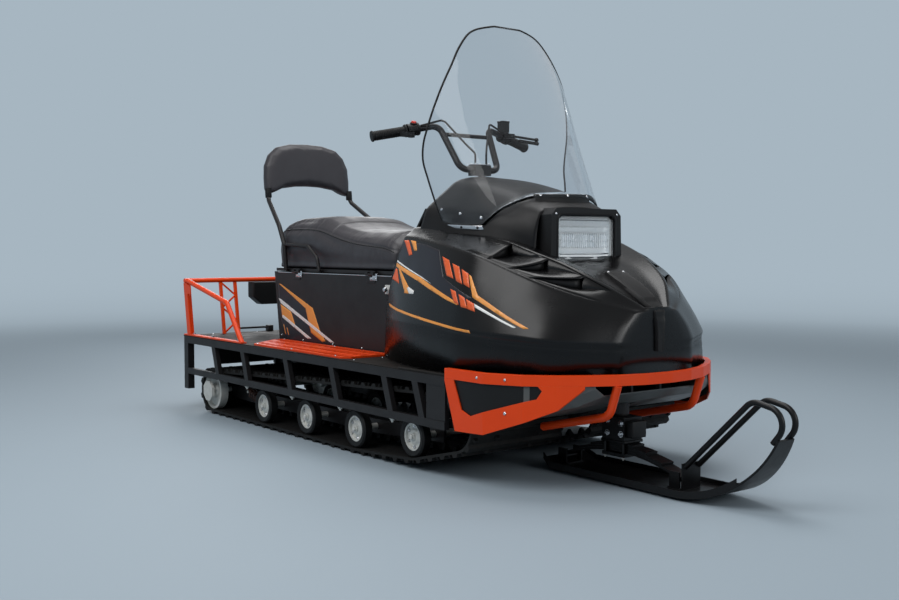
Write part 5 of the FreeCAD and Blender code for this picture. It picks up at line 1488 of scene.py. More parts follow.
# ---------------------------------------------------------------- headlight
@dataclass
class Headlight:
    """Square lamp: bezel ring, bright bowl and pressed glass with flutes."""

    # heights of the opening's foot and top, half its width and the radius of its corners
    low: float = 640.0
    high: float = 778.0
    half: float = 119.0
    corner: float = 20.0
    front: float = 1958.0
    flute_mm: float = 8.0

    def outline(self, shrink: float, count: int = 6) -> list[tuple[float, float]]:
        """Gives a rounded outline of the opening, drawn in by a distance."""
        result = []
        for sy, sz, start in ((1, 1, 0), (-1, 1, 90), (-1, -1, 180), (1, -1, 270)):
            cy = sy * (self.half - shrink - self.corner)
            cz = self.high - shrink - self.corner if sz > 0 else self.low + shrink + self.corner
            for k in range(count + 1):
                a = math.radians(start + 90.0 * k / count)
                result.append((cy + self.corner * math.cos(a), cz + self.corner * math.sin(a)))
        return result

    def rings(self, rows: Sequence[tuple[float, float]]) -> list[Ring]:
        """Gives the outline's places for rows of station and shrink."""
        return [[spot(station, y, z) for y, z in self.outline(shrink)] for station, shrink in rows]

    def bowl(self) -> Piece:
        """Builds the bright bowl behind the glass."""
        rows = [(1945.5, 2.4), (1938.0, 4.0), (1932.0, 12.0), (1929.0, 26.0), (1927.4, 40.0), (1926.8, 48.0)]
        bm = bmesh.new()
        bm.faces.new(skin(bm, self.rings(rows), caps=False)[-1])
        back = [(station - 1.2, shrink + 0.6) for station, shrink in reversed(rows)]
        bm.faces.new(skin(bm, self.rings(back), caps=False)[0])
        return from_bmesh("lamp_bowl", bm, Finishes.MIRROR, 40.0)

    def relief(self, y: float, z: float) -> float:
        """Gives the depth of the glass's pressed pattern at a place, in millimetres."""
        share = (z - self.low) / (self.high - self.low)
        if share < 0.16 or share > 0.90 or abs(y) > 104.0:
            return 0.5 * math.sin(2 * math.pi * z / 9.0)
        band = math.floor((share - 0.16) / 0.148)
        ridge = abs(((share - 0.16) / 0.148) % 1.0 - 0.5) * 2.0
        if band in (1, 2) and abs(y) < 96.0:
            return 2.2 * abs(math.sin(math.pi * y / self.flute_mm)) - 0.8 * ridge ** 6
        return 2.2 * ridge ** 4 + 0.15 * math.sin(math.pi * y / (3.0 * self.flute_mm))

    def glass(self) -> Piece:
        """Builds the pressed glass: smooth outside, patterned inside."""
        rim = self.outline(1.0)
        bm = bmesh.new()
        columns, lines = 150, 70
        layers = []
        for rear in (False, True):
            grid = []
            for j in range(lines + 1):
                z = lerp(self.low + 1.0, self.high - 1.0, j / lines)
                spans = []
                for (y0, z0), (y1, z1) in zip(rim, rim[1:] + rim[:1]):
                    if min(z0, z1) - 1e-6 <= z <= max(z0, z1) + 1e-6 and abs(z1 - z0) > 1e-9:
                        spans.append(abs(lerp(y0, y1, (z - z0) / (z1 - z0))))
                half = min(spans) if spans else 99.0
                row = []
                for i in range(columns + 1):
                    y = half * (2.0 * i / columns - 1.0)
                    bulge = 2.2 * (1.0 - (y / self.half) ** 2) * (1.0 - ((z - 709.0) / 69.0) ** 2)
                    x = 1950.4 + bulge if not rear else 1946.2 + bulge * 0.6 - self.relief(y, z)
                    row.append(bm.verts.new(spot(x, y, z)))
                grid.append(row)
            for near, far in zip(grid, grid[1:]):
                for k in range(columns):
                    face = (near[k], near[k + 1], far[k + 1], far[k])
                    bm.faces.new(face if not rear else face[::-1])
            layers.append(grid)
        one, two = (grid[0] + [row[-1] for row in grid[1:]] + grid[-1][-2::-1] + [row[0] for row in grid[-2:0:-1]]
                    for grid in layers)
        for k in range(len(one)):
            bm.faces.new((one[k], two[k], two[(k + 1) % len(one)], one[(k + 1) % len(one)]))
        return from_bmesh("lamp_glass", bm, Finishes.LAMP_GLASS, 25.0)

    def build(self, fasteners: Fasteners) -> None:
        """Builds the lamp and lets it ride on the hood."""
        glass = self.glass()
        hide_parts("headlight_lens")
        mount(glass, "hood")
        mount(self.bowl(), "hood")
        bezel = skinned("lamp_bezel", self.rings([(1952.0, 0.6), (1958.2, 0.6), (1959.6, -0.6), (1960.4, -3.4),
                                                  (1959.4, -6.6), (1957.6, -7.4), (1952.0, -7.4)]),
                        Finishes.COWL_ABS, 50.0, caps=False)
        mount(bezel, "hood")
        for y, z in ((129.0, 783.0), (131.0, 648.0)):
            fasteners.both("hood", Head.DOME, self.front, y, z, (1, 0, 0), 8.0)


# ---------------------------------------------------------------- stripes
@dataclass
class Stripes:
    """Plain stripes and blocks of sign vinyl on the hood's sides and the seat box."""

    # station and height of each shape's corners on the hood's side
    hood_field: tuple = ((1432, 706), (1600, 690), (1680, 674), (1745, 592), (1895, 536),
                         (1847, 514), (1600, 583), (1418, 636))
    hood_orange: tuple = (((1434, 705), (1470, 705), (1519, 660), (1500, 655)),
                          ((1707, 655), (1748, 644), (1796, 590), (1758, 598)),
                          ((1769, 635), (1807, 625), (1843, 575), (1812, 583)),
                          ((1821, 619), (1855, 606), (1875, 565), (1849, 575)),
                          ((1793, 560), (1822, 553.5), (1849, 515), (1824, 522)),
                          ((1838, 547), (1865, 537), (1885, 506), (1859, 510)),
                          ((1872, 534), (1904, 521), (1914, 498), (1886, 505)),
                          ((1416, 614), (1430, 612), (1471, 566), (1396, 579)))
    hood_amber: tuple = (((1482, 705), (1520, 701), (1544, 672), (1526, 671)),
                         ((1414, 632), (1620, 588), (1813, 530), (1847, 514), (1786, 527),
                          (1602, 578), (1414, 620)),
                         ((1858, 604), (1869, 598), (1909, 545), (2084, 457), (2071, 456),
                          (1894, 538)),
                         ((1384, 499), (1908, 445), (1912, 437), (1392, 490.5)),
                         ((1440, 614), (1457, 612), (1548, 559.5), (1560, 537.5),
                          (1527, 537.5), (1520, 548)))
    hood_white: tuple = (((1415, 640.5), (1620, 592), (1690, 571), (1620, 588.5), (1415, 635)),
                         ((1905, 521), (2051, 460), (2046, 457.5), (1909, 511)),
                         ((1540, 553), (1548, 559), (1592, 547), (1591, 537.5), (1560, 537.5)))
    # the same on the seat box
    box_field: tuple = ((444, 536), (660, 452), (784, 322), (872, 322), (497, 318),
                        (454, 420))
    box_amber: tuple = (((461, 454), (547, 427), (582, 372), (474, 402)),
                        ((448, 536), (467, 534), (716, 449), (765, 370), (809, 328),
                         (784, 323), (702, 353), (681, 395), (660, 446)),
                        ((483, 375), (490, 372), (506, 334), (500, 334)),
                        ((510, 363), (517, 361), (529, 333), (523, 333)))
    box_white: tuple = (((446, 476), (466, 474), (872, 327), (846, 325), (461, 459)),
                        ((474, 401), (676, 328), (706, 331), (481, 412)))
    film: float = 0.15

    def lay(self, name: str, shapes: Sequence[Sequence[Point]], finish: Finish, lift: float,
            hold: Callable[[float, float, int], tuple[Vector, Vector] | None]) -> Piece:
        """Lays flat shapes on a panel, on both sides of the machine.

        Args:
            name: the piece's name.
            shapes: corners of each shape.
            finish: the film.
            lift: how far the film's face stands off the panel, in millimetres.
            hold: gives the panel's place and outward direction for a station, a height and a side.

        Returns:
            The piece.
        """
        bm = bmesh.new()
        for hand in (-1, 1):
            for shape in shapes:
                flat = bmesh.new()
                loop = [flat.verts.new((x, 0.0, z)) for x, z in shape]
                edges = [flat.edges.new((a, b)) for a, b in zip(loop, loop[1:] + loop[:1])]
                bmesh.ops.triangle_fill(flat, use_beauty=True, use_dissolve=False, edges=edges)
                for _ in range(6):
                    longer = [e for e in flat.edges if e.calc_length() > 11.0]
                    if not longer:
                        break
                    bmesh.ops.subdivide_edges(flat, edges=longer, cuts=1)
                    bmesh.ops.triangulate(flat, faces=flat.faces)
                places = {}
                for vert in flat.verts:
                    held = hold(vert.co.x, vert.co.z, hand)
                    if held is not None:
                        places[vert] = bm.verts.new(held[0] + held[1] * (lift * MM))
                for face in flat.faces:
                    if all(vert in places for vert in face.verts):
                        bm.faces.new([places[vert] for vert in face.verts])
                flat.free()
        bm.normal_update()
        for face in bm.faces:
            if face.normal.y * face.calc_center_median().y < 0.0:
                face.normal_flip()
        return wall(new_piece(name, to_mesh(name, bm), finish, 60.0), self.film)

    def build(self, hood: Piece) -> None:
        """Lays every stripe.

        Args:
            hood: the hood's shell, in place.
        """
        shell = surface(hood)

        def on_hood(station: float, z: float, hand: int) -> tuple[Vector, Vector] | None:
            place, normal, _, _ = shell.ray_cast(spot(station, hand * 700.0, z), Vector((0.0, -hand, 0.0)), 1.0)
            if place is None or place.y * hand < 0.0:
                return None
            return place, normal if normal.y * hand > 0.0 else -normal

        def on_box(station: float, z: float, hand: int) -> tuple[Vector, Vector]:
            lean = 38.0 * (z - 310.0) / 275.0
            return spot(max(station, 452.4 - lean), hand * 235.0, z), Vector((0.0, hand, 0.0))

        for name, shapes, finish, lift, body, hold in (
                ("hood_field", (self.hood_field,), Finishes.DECAL_NAVY, 0.25, "hood", on_hood),
                ("hood_orange_blocks", self.hood_orange, Finishes.DECAL_ORANGE, 0.55, "hood", on_hood),
                ("hood_amber_stripes", self.hood_amber, Finishes.DECAL_AMBER, 0.50, "hood", on_hood),
                ("hood_white_stripes", self.hood_white, Finishes.DECAL_WHITE, 0.62, "hood", on_hood),
                ("box_field", (self.box_field,), Finishes.DECAL_NAVY, 0.20, "chassis", on_box),
                ("box_amber_stripes", self.box_amber, Finishes.DECAL_AMBER, 0.42, "chassis", on_box),
                ("box_white_stripes", self.box_white, Finishes.DECAL_WHITE, 0.60, "chassis", on_box)):
            mount(self.lay(name, shapes, finish, lift, hold), body)


# ---------------------------------------------------------------- bars
@dataclass
class Bars:
    """Grips, stop button, clamp bands and the brake reservoir's cap on the handlebar."""

    # the left end and bend of the bar
    end: tuple = (1287, 338, 1051)
    bend: tuple = (1350, 108, 1097)
    grip_length: float = 122.0
    # a grip's end and its flange: distances along the axis and radii; between them, where its ribs start,
    # how far apart they are and how many
    grip_end: tuple = ((-3, 0), (-3, 14), (-2, 18), (1, 19), (3, 18.4), (5, 15.6))
    flange: tuple = ((115, 15.6), (117, 20.6), (119, 22), (121, 22), (122, 20.5), (122, 11.4))
    ribs: tuple = (8, 6.2, 17)
    # the same of the stop button, its collar and the bands that clamp the controls
    button: tuple = ((0, 0), (0, 9), (7, 9), (9, 8.2), (10, 6), (10.4, 0))
    collar: tuple = ((0, 0), (0, 13), (2.5, 13), (4, 11.6), (4, 9.4), (1, 9.2), (1, 0))
    band: tuple = ((0, 11.4), (0, 20.6), (1, 22.2), (5, 22.2), (6, 20.6), (6, 11.4))
    # side of each band, 1 for the left, and how far it is past the grip
    bands: tuple = ((-1, 4), (-1, 38), (1, 7), (1, 30))

    def line(self, hand: int, distance: float) -> Vector:
        """Gives a place on a grip's axis, a distance inboard of the bar's end."""
        end, bend = spot(*self.end), spot(*self.bend)
        place = end + (bend - end).normalized() * (distance * MM)
        return Vector((place.x, place.y * hand, place.z))

    def inward(self, hand: int) -> Vector:
        """Gives the direction from a bar's end inboard."""
        return (self.line(hand, 100.0) - self.line(hand, 0.0)).normalized()

    def grips(self) -> Piece:
        """Builds the ribbed rubber grips."""
        start, gap, count = self.ribs
        profile = list(self.grip_end)
        for rib in (start + gap * i for i in range(count)):
            profile += [(rib, 15.2), (rib + 1.0, 16.4), (rib + 3.6, 16.4), (rib + 4.6, 15.2)]
        profile += self.flange
        return join("grip_covers", [turned("grip", profile, self.line(hand, 0.0), self.inward(hand),
                                           Finishes.RUBBER, 28) for hand in (-1, 1)])

    def build(self, fasteners: Fasteners) -> None:
        """Builds the pieces and lets them ride on the handlebar."""
        grips = self.grips()
        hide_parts("grips")
        mount(grips, "handlebar")
        right, up = self.line(-1, self.grip_length + 25.0), Vector((0.25, 0.0, 0.97)).normalized()
        button = turned("stop_button", self.button, right + up * 0.020, up, Finishes.RED_BUTTON, 24)
        mount(button, "handlebar")
        collar = turned("button_collar", self.collar, right + up * 0.0195, up, Finishes.MOULDED, 24)
        bands = [turned("band", self.band, self.line(hand, self.grip_length + start), self.inward(hand),
                        Finishes.MOULDED, 28) for hand, start in self.bands]
        top = self.line(1, self.grip_length + 21.0) + Vector((0.002, 0.0, 0.050))
        cap = block("cap", top + Vector((-0.0155, -0.0175, 0)), top + Vector((0.0155, 0.0175, 0.007)),
                    Finishes.MOULDED, 2.0)
        mount(join("control_details", [collar, cap, *bands]), "handlebar")
        for dx, dy in ((-0.010, -0.012), (0.010, 0.012)):
            fasteners.add("handlebar", Head.DOME, top + Vector((dx, dy, 0.007)), (0, 0, 1), 5.0)


# ---------------------------------------------------------------- wheels and tracks
@dataclass
class RunningGear:
    """Bolts of the wheel discs, guide lugs and tread teeth of the tracks, and the shock absorbers."""

    # station and height of the road wheels; the same and the radius of the wheels at the ends
    wheels: tuple = ((660, 82), (982, 82), (1304, 82), (1629, 100))
    idler: tuple = (215, 94, 76)
    sprocket: tuple = (1846, 168, 78)
    wheel_radius: float = 64.0
    bolt_circle: float = 33.0
    idler_bolt_circle: float = 30.0
    # distances from the machine's middle: faces that bolts sit on, guide lugs, tread teeth
    disc_face: float = 410.0
    hub_face: float = 418.8
    idler_face: float = 440.0
    guide_y: float = 245.5
    teeth_y: tuple = (78, 162, 330, 412)
    pitch: float = 31.0
    belt: float = 8.0
    # the shock absorber's foot and head on the left, and its spring: start, length, radius, turns
    shock_foot: tuple = (560, 362, 70)
    shock_head: tuple = (440, 362, 108)
    spring: tuple = (16, 98, 15.5, 6)

    def loop(self) -> list[tuple[float, float]]:
        """Gives the belt's inner line as stations and heights, from the hull of the wheels it runs round."""
        rounds = [self.idler, (*self.wheels[2], self.wheel_radius), (*self.wheels[3], self.wheel_radius),
                  self.sprocket]
        cloud = []
        for station, z, radius in rounds:
            cloud += [(station + radius * math.cos(a), z + radius * math.sin(a)) for a in circle(90)]
        cloud.sort()
        hull: list[tuple[float, float]] = []
        for chain in (cloud, cloud[::-1]):
            base = len(hull)
            for place in chain:
                while len(hull) - base >= 2:
                    (ax, az), (bx, bz) = hull[-2], hull[-1]
                    if (bx - ax) * (place[1] - az) - (bz - az) * (place[0] - ax) > 0.0:
                        break
                    hull.pop()
                hull.append(place)
            hull.pop()
        return hull

    def stops(self) -> list[tuple[Vector, Vector, Vector]]:
        """Gives a place, the inward direction and the run's direction at every pitch round the loop."""
        hull = [spot(x, 0.0, z) for x, z in self.loop()]
        lengths = [(b - a).length for a, b in zip(hull, hull[1:] + hull[:1])]
        total = sum(lengths)
        count = round(total / (self.pitch * MM))
        result = []
        i, gone = 0, 0.0
        for k in range(count):
            goal = total * (k + 0.5) / count
            while gone + lengths[i] < goal:
                gone += lengths[i]
                i += 1
            a, b = hull[i], hull[(i + 1) % len(hull)]
            along = (b - a).normalized()
            result.append((a + along * (goal - gone), Vector((-along.z, 0.0, along.x)), along))
        return result

    def build(self, fasteners: Fasteners) -> None:
        """Builds the pieces and lets them ride on the chassis."""
        guides, teeth = [], []
        for number, (place, inward, along) in enumerate(self.stops()):
            for hand in (-1, 1):
                if number % 2:
                    guides.append(Spot(place + Vector((0, hand * self.guide_y * MM, 0)), inward, along))
                for y in self.teeth_y:
                    teeth.append(Spot(place + Vector((0, hand * y * MM, 0)) - inward * (self.belt * MM), -inward,
                                      along))
        guide = Stamp("track_guides", ((4, 13.0, 12.0, 3.0), (4, 12.0, 5.0, 15.0), (4, 5.0, 3.0, 2.0)),
                      (1.0, 1.35, 1.0), 45.0)
        mount(guide.set_out("track_guide_lugs", guides, Finishes.TRACK_RUBBER), "chassis")
        tooth = Stamp("track_teeth", ((4, 10.5, 7.0, 9.7),), (0.7, 1.1, 1.0), 45.0)
        mount(tooth.set_out("track_tread_teeth", teeth, Finishes.TRACK_RUBBER), "chassis")
        for station, z in self.wheels:
            for k in range(6):
                a = math.radians(30.0 + 60.0 * k)
                fasteners.both("chassis", Head.HEX, station + self.bolt_circle * math.cos(a), self.disc_face,
                               z + self.bolt_circle * math.sin(a), (0, 1, 0), 7.0)
            fasteners.both("chassis", Head.HEX, station, self.hub_face, z, (0, 1, 0), 14.0, Finishes.ZINC)
        for k in range(8):
            a = math.radians(45.0 * k)
            fasteners.both("chassis", Head.DOME, self.idler[0] + self.idler_bolt_circle * math.cos(a), self.idler_face,
                           self.idler[1] + self.idler_bolt_circle * math.sin(a), (0, 1, 0), 6.0, Finishes.ZINC)
        for hand in (-1, 1):
            self.shock(hand)

    def shock(self, hand: int) -> None:
        """Builds one shock absorber with its coil spring, behind the truss."""
        low, high = (spot(x, hand * y, z) for x, y, z in (self.shock_foot, self.shock_head))
        way = (high - low).normalized()
        cross = way.orthogonal().normalized()
        other = way.cross(cross)
        body = turned("body", [(-9, 0), (-9, 8), (9, 8), (11, 11), (74, 11), (76, 5), (116, 5), (117, 9), (134, 9),
                               (134, 0)], low, way, Finishes.SHOCK, 18)
        start, length, radius, turns = self.spring
        coil = []
        for i in range(121):
            a = 2 * math.pi * turns * i / 120
            coil.append(low + way * ((start + length * i / 120) * MM)
                        + (cross * math.cos(a) + other * math.sin(a)) * (radius * MM))
        spring = tube("spring", coil, 2.6, Finishes.SHOCK, 8)
        mount(join(f"shock_{'left' if hand > 0 else 'right'}", [body, spring]), "chassis")


# ---------------------------------------------------------------- fittings
@dataclass
class Fittings:
    """Small formed parts of the chassis, the bars and the ski, listed by how they are made."""

    # name, body, slot, finish, low corner, high corner, edge radius. A corner is a station, a distance to the
    # left and a height; a name that ends in "_both" is made on both sides
    blocks: tuple = (
        ("box_trim_both", "chassis", "zinc_steel", Finishes.BRIGHT, (446, 234.9, 580.6), (1252, 236.4, 583.6), 0.6),
        ("tunnel_sheet_both", "chassis", "black_steel", Finishes.MOULDED, (40, 41.5, 170), (1800, 43.5, 306.5), 0.8),
        ("seat_hinge_leaf_rear", "chassis", "zinc_steel", Finishes.BRIGHT, (592, -238.6, 565), (638, -234.9, 590), 1),
        ("seat_hinge_leaf_front", "chassis", "zinc_steel", Finishes.BRIGHT,
         (1118, -238.6, 565), (1164, -234.9, 590), 1),
        ("latch_plate", "chassis", "zinc_steel", Finishes.ZINC, (1212, -237.2, 520), (1246, -234.9, 552), 1.2),
        ("clamp_plate", "handlebar", "zinc_steel", Finishes.BRIGHT, (1422, -33, 961.1), (1458, 33, 964), 1.2),
        ("spindle_stop", "ski", "black_plastic", Finishes.MOULDED, (2151.5, -30, 128), (2178, 30, 178), 4),
        ("spindle_cap", "ski", "black_steel", Finishes.SKI_STEEL, (2060, -40, 110), (2156, 40, 119), 2.5),
        ("hitch_bracket", "chassis", "black_steel", Finishes.BLACK_STEEL, (4, -62, 310.3), (34, -38, 336), 2),
        ("rail_strip_both", "chassis", "zinc_steel", Finishes.DECK, (1593, 430, 310.2), (1826, 449, 314.8), 1.5),
        ("mudflap", "chassis", "track_rubber", Finishes.TRACK_RUBBER, (3, -300, 175), (9, 300, 306.6), 2),
        ("crankcase", "chassis", "cast_alloy", Finishes.CAST_ALLOY, (1776, -158, 311), (1998, 158, 400), 14),
        ("air_box", "chassis", "black_plastic", Finishes.MOULDED, (1768, -150, 404), (1836, 150, 500), 16),
        ("fan_cowl", "chassis", "black_plastic", Finishes.MOULDED, (1850, 96, 404), (1990, 160, 540), 22),
    )
    # name, body, slot, finish, radius, rounding, corners
    bars: tuple = (
        ("hitch_rod", "chassis", "black_steel", Finishes.BLACK_STEEL, 4.5, 8,
         ((5, -188, 327), (5, -64, 327), (19, -50, 320))),
        ("skid_ends_both", "chassis", "orange_paint", Finishes.ORANGE, 12.6, 0,
         ((1956, 175, 151.1), (1966, 175, 153.3))),
        ("shock_pins_both", "chassis", "zinc_steel", Finishes.ZINC, 5, 0, ((440, 334, 108), (440, 374, 108))),
        ("shock_feet_both", "chassis", "zinc_steel", Finishes.ZINC, 5, 0, ((560, 334, 70), (560, 374, 70))),
        ("fuel_hose", "chassis", "wheel_rubber", Finishes.RUBBER, 6, 40,
         ((1800, 60, 498), (1800, 60, 540), (1900, -60, 540), (1930, -60, 500))),
        ("spark_leads_both", "chassis", "wheel_rubber", Finishes.RUBBER, 3.6, 24,
         ((1915, 48, 520), (1915, 48, 542), (1980, 48, 542), (1980, 48, 470))),
        ("wiring_loom", "chassis", "wheel_rubber", Finishes.RUBBER, 5, 30,
         ((1274, 120, 560), (1286, 120, 640), (1286, -120, 640), (1274, -120, 560))),
    )
    # the middle of the speed dial, and the way the dash faces
    dial: ClassVar[tuple] = (1352, 66, 704)
    facing: ClassVar[tuple] = (-0.768, 0, 0.641)
    # name, body, slot, finish, profile as distances along the axis and radii, foot, axis
    rounds: tuple = (
        ("latch_knob", "chassis", "zinc_steel", Finishes.BRIGHT,
         ((0, 4.5), (5, 4.5), (6.5, 7), (9.5, 9), (13.5, 9), (17, 7), (18.5, 0)), (1229, -236.5, 536), (0, -1, 0)),
        ("speed_dial_rim", "chassis", "black_plastic", Finishes.MOULDED,
         ((-8, 0), (-8, 44), (6, 44), (9, 41), (9, 37), (3, 36), (2, 0)), dial, facing),
        ("speed_dial_glass", "chassis", "lamp_glass", Finishes.LAMP_GLASS,
         ((5.2, 0), (5.2, 36), (6, 36.4), (7.4, 30), (8.2, 16), (8.4, 0)), dial, facing),
        ("speed_dial_face", "chassis", "black_plastic", Finishes.DECAL_WHITE,
         ((2.1, 0), (2.1, 34), (3, 34), (3, 0)), dial, facing),
        ("key_switch", "chassis", "zinc_steel", Finishes.BRIGHT,
         ((-4, 0), (-4, 15), (5, 15), (7, 12), (7, 7), (9, 7), (9, 0)), (1340, -78, 690), facing),
        ("choke_knob", "chassis", "black_plastic", Finishes.MOULDED,
         ((-2, 4), (14, 4), (16, 12), (22, 14), (27, 12), (28, 0)), (1322, -130, 668), facing),
        ("filler_cap", "chassis", "black_plastic", Finishes.MOULDED,
         ((0, 0), (0, 26), (12, 28), (20, 27), (22, 23), (22, 0)), (1900, 0, 400), (0, 0, 1)),
        ("brake_sleeve", "handlebar", "wheel_rubber", Finishes.RUBBER,
         ((6, 4.6), (8, 6.4), (70, 6), (92, 6.6), (94, 4.7)), (1358.2, 242.5, 1065.2), (0.0955, 0.9929, -0.0764)),
        ("column_boot", "handlebar", "wheel_rubber", Finishes.RUBBER,
         ((0, 12.2), (1, 19), (6, 19.4), (12, 15.4), (18, 18.4), (24, 14.6), (30, 17.4), (36, 14), (42, 15),
          (46, 12.2)),
         (1390.1, 0, 838.1), (0.4226, 0, 0.9063)),
        ("swivel_seal", "chassis", "wheel_rubber", Finishes.RUBBER,
         ((0, 15.6), (0, 25), (2.5, 26.4), (5, 25), (5, 15.6)), (2100, 0, 186.6), (0, 0, 1)),
    )

    @staticmethod
    def hands(name: str) -> tuple[int, ...]:
        """Gives the sides that a fitting is made on."""
        return (1, -1) if name.endswith("_both") else (1,)

    def build(self, fasteners: Fasteners) -> None:
        """Makes every fitting and lets it ride on its body."""
        for name, body, slot, finish, low, high, edge in self.blocks:
            parts = [block(name, spot(low[0], min(low[1] * h, high[1] * h), low[2]),
                           spot(high[0], max(low[1] * h, high[1] * h), high[2]), finish, edge)
                     for h in self.hands(name)]
            mount(join(name, parts), body)
        for name, body, slot, finish, radius, bend, corners in self.bars:
            parts = []
            for h in self.hands(name):
                line = [spot(x, y * h, z) for x, y, z in corners]
                parts.append(tube(name, round_corners(line, bend * MM) if bend else line, radius, finish))
            mount(join(name, parts), body)
        for name, body, slot, finish, profile, foot, axis in self.rounds:
            mount(turned(name, profile, spot(*foot), Vector(axis), finish, 28), body)
        self.engine()
        self.lamp()
        self.window_liners()
        self.screws(fasteners)

    def window_liners(self) -> None:
        """Hangs a dark sheet close behind the window of each folded side plate, as painted shade in the opening."""
        # station, distance to the side and lowest height along the window
        rows = ((1838.0, 443.6, 230.0), (1880.0, 442.4, 170.0), (1999.0, 438.9, 176.0), (2104.0, 386.9, 216.0),
                (2146.0, 344.0, 240.0))
        bm = bmesh.new()
        for hand in (1, -1):
            skin(bm, [[spot(x, hand * (y + thick), z) for thick, z in
                       ((0.0, low), (1.0, low), (1.0, 302.0), (0.0, 302.0))] for x, y, low in rows])
        # painted shade: a black sheet that stands for the shadow seen through each window
        mount(from_bmesh("window_liners", bm, Finishes.MOULDED), "chassis")

    def engine(self) -> None:
        """Stands two finned cylinders on the crankcase in place of the plain block."""
        fins = tuple(ring for _ in range(9) for ring in ((22, 46.0, 46.0, 3.0), (22, 37.0, 37.0, 5.0)))
        stamp = Stamp("cylinder_fins", fins + ((22, 44.0, 40.0, 14.0), (12, 12.0, 10.0, 14.0)))
        spots = [Spot(spot(1915.0, y, 398.0), Vector((0, 0, 1)), Vector((1, 0, 0))) for y in (-48.0, 48.0)]
        fins = stamp.set_out("engine_cylinders", spots, Finishes.CAST_ALLOY)
        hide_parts("engine_block")
        mount(fins, "chassis")

    def lamp(self) -> None:
        """Builds the tail lamp: moulded housing with a fluted red lens to the rear."""
        low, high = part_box("tail_lamp")
        outline = [(0.5, 1.0), (0.5, 0.34), (0.28, 0.0), (-0.28, 0.0), (-0.5, 0.34), (-0.5, 1.0)]

        def ring(x: float, shrink: float) -> Ring:
            wide, tall = (high.y - low.y) / 2 - shrink * MM, high.z - low.z - 2 * shrink * MM
            return [Vector((low.x + x * MM, (low.y + high.y) / 2 + y * 2 * wide, low.z + shrink * MM + z * tall))
                    for y, z in outline]

        for name, finish, slot, rows in (
                ("tail_lamp_housing", Finishes.MOULDED, "black_plastic",
                 ((12.0, 2.0), (12.0, 0.0), (60.0, 0.0), (63.6, 3.0))),
                ("tail_lamp_lens", Finishes.RED_LENS, "tail_lens",
                 ((0.4, 9.0), (1.4, 6.0), (6.0, 3.4), (12.2, 3.0)))):
            piece = skinned(name, [ring(x, shrink) for x, shrink in rows], finish, 40.0)
            modify(piece, "BEVEL", width=1.6 * MM, segments=2)
            settle(piece)
            if name == "tail_lamp_housing":
                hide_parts("tail_lamp")
            mount(piece, "chassis")
        ribs = [Spot(Vector((low.x + 0.0016, lerp(low.y + 0.03, high.y - 0.03, i / 14), (low.z + high.z) / 2)),
                     Vector((0, 0, 1)), Vector((1, 0, 0))) for i in range(15)]
        rib = Stamp("lens_flutes", ((6, 1.1, 1.1, 36.0),), (1.0, 2.2, 1.0))
        mount(rib.set_out("tail_lamp_flutes", ribs, Finishes.RED_LENS), "chassis")

    def screws(self, fasteners: Fasteners) -> None:
        """Adds the fasteners that hold the frame, the box, the rack, the bars and the ski together."""
        right, down, ahead, up = (0, 1, 0), (0, 0, -1), (1, 0, 0), (0, 0, 1)
        hexes, nuts, domes = Head.HEX, Head.NUT, Head.DOME
        # body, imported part, head, size across, the way it is driven, both sides, places
        for body, node, head, across, way, both, places in (
                ("ski", "ski_spindle", hexes, 11, right, True,
                 ((2086, 60, 173), (2140, 60, 170), (2086, 60, 138), (2140, 60, 138))),
                ("ski", "ski_spindle", nuts, 9, up, True, ((2072, 32, 40), (2144, 32, 40))),
                ("chassis", "bumper_side_plates", domes, 11, right, True,
                 ((1868, 470, 270), (1878, 470, 185), (2060, 470, 225))),
                ("chassis", "truss_posts", domes, 12, right, True,
                 ((1791, 470, 247), (1756, 470, 189), (1815, 470, 189), (1746, 470, 166))),
                ("chassis", "bumper_band", domes, 9, right, True,
                 ((1850, 470, 318), (1975, 470, 318), (2060, 470, 318))),
                ("chassis", "rack_rails", domes, 8, down, True, ((60, 436, 600), (300, 436, 600))),
                ("chassis", "rack_frame", hexes, 9, right, True, ((24, 460, 500), (50, 460, 500), (42, 460, 340))),
                ("chassis", "rack_frame", hexes, 10, down, True, ((68, 430, 330), (250, 430, 330), (480, 430, 330))),
                ("chassis", "deck_sheet", domes, 8, down, True,
                 ((36, 330, 400), (36, 120, 400), (230, 400, 400), (420, 400, 400), (230, 60, 400),
                  (1300, 420, 400), (1290, 300, 400))),
                ("chassis", "step_grates", domes, 9, down, True,
                 ((640, 431, 400), (900, 431, 400), (1200, 431, 400), (520, 250, 400), (900, 250, 400),
                  (1240, 250, 400))),
                ("chassis", "seat_box", domes, 9, ahead, False,
                 ((400, -190, 560), (400, 190, 560), (400, -200, 360), (400, 200, 360))),
                ("chassis", "seat_box", domes, 8, right, True,
                 ((470, 300, 330), (640, 300, 320), (860, 300, 320), (1060, 300, 320), (1236, 300, 330),
                  (1236, 300, 480))),
                ("chassis", "truss_rails", nuts, 13, up, True,
                 ((565, 438.5, 120), (916, 438.5, 120), (1242, 438.5, 120), (1549, 438.5, 120))),
                ("chassis", "cross_members", hexes, 10, ahead, False,
                 ((-20, -300, 290), (-20, 300, 290), (-20, -120, 290), (-20, 120, 290))),
                ("chassis", "tow_hitch", hexes, 12, ahead, False,
                 ((-20, -48, 225), (-20, 48, 225), (-20, -48, 135), (-20, 48, 135))),
                ("chassis", "dash_panel", domes, 7, [-way for way in self.facing], False,
                 ((1260, -200, 700), (1260, 200, 700), (1340, -200, 830), (1340, 200, 830))),
                ("handlebar", "steering_column", hexes, 9, down, True, ((1426, 27, 990), (1454, 27, 990)))):
            shell = surface(NODES[node])
            for station, y, z in places:
                for hand in (1, -1) if both else (1,):
                    drive = Vector((way[0], -way[1] * hand if both else way[1], way[2])).normalized()
                    seat, _, _, _ = shell.ray_cast(spot(station, y * hand, z), drive, 0.4)
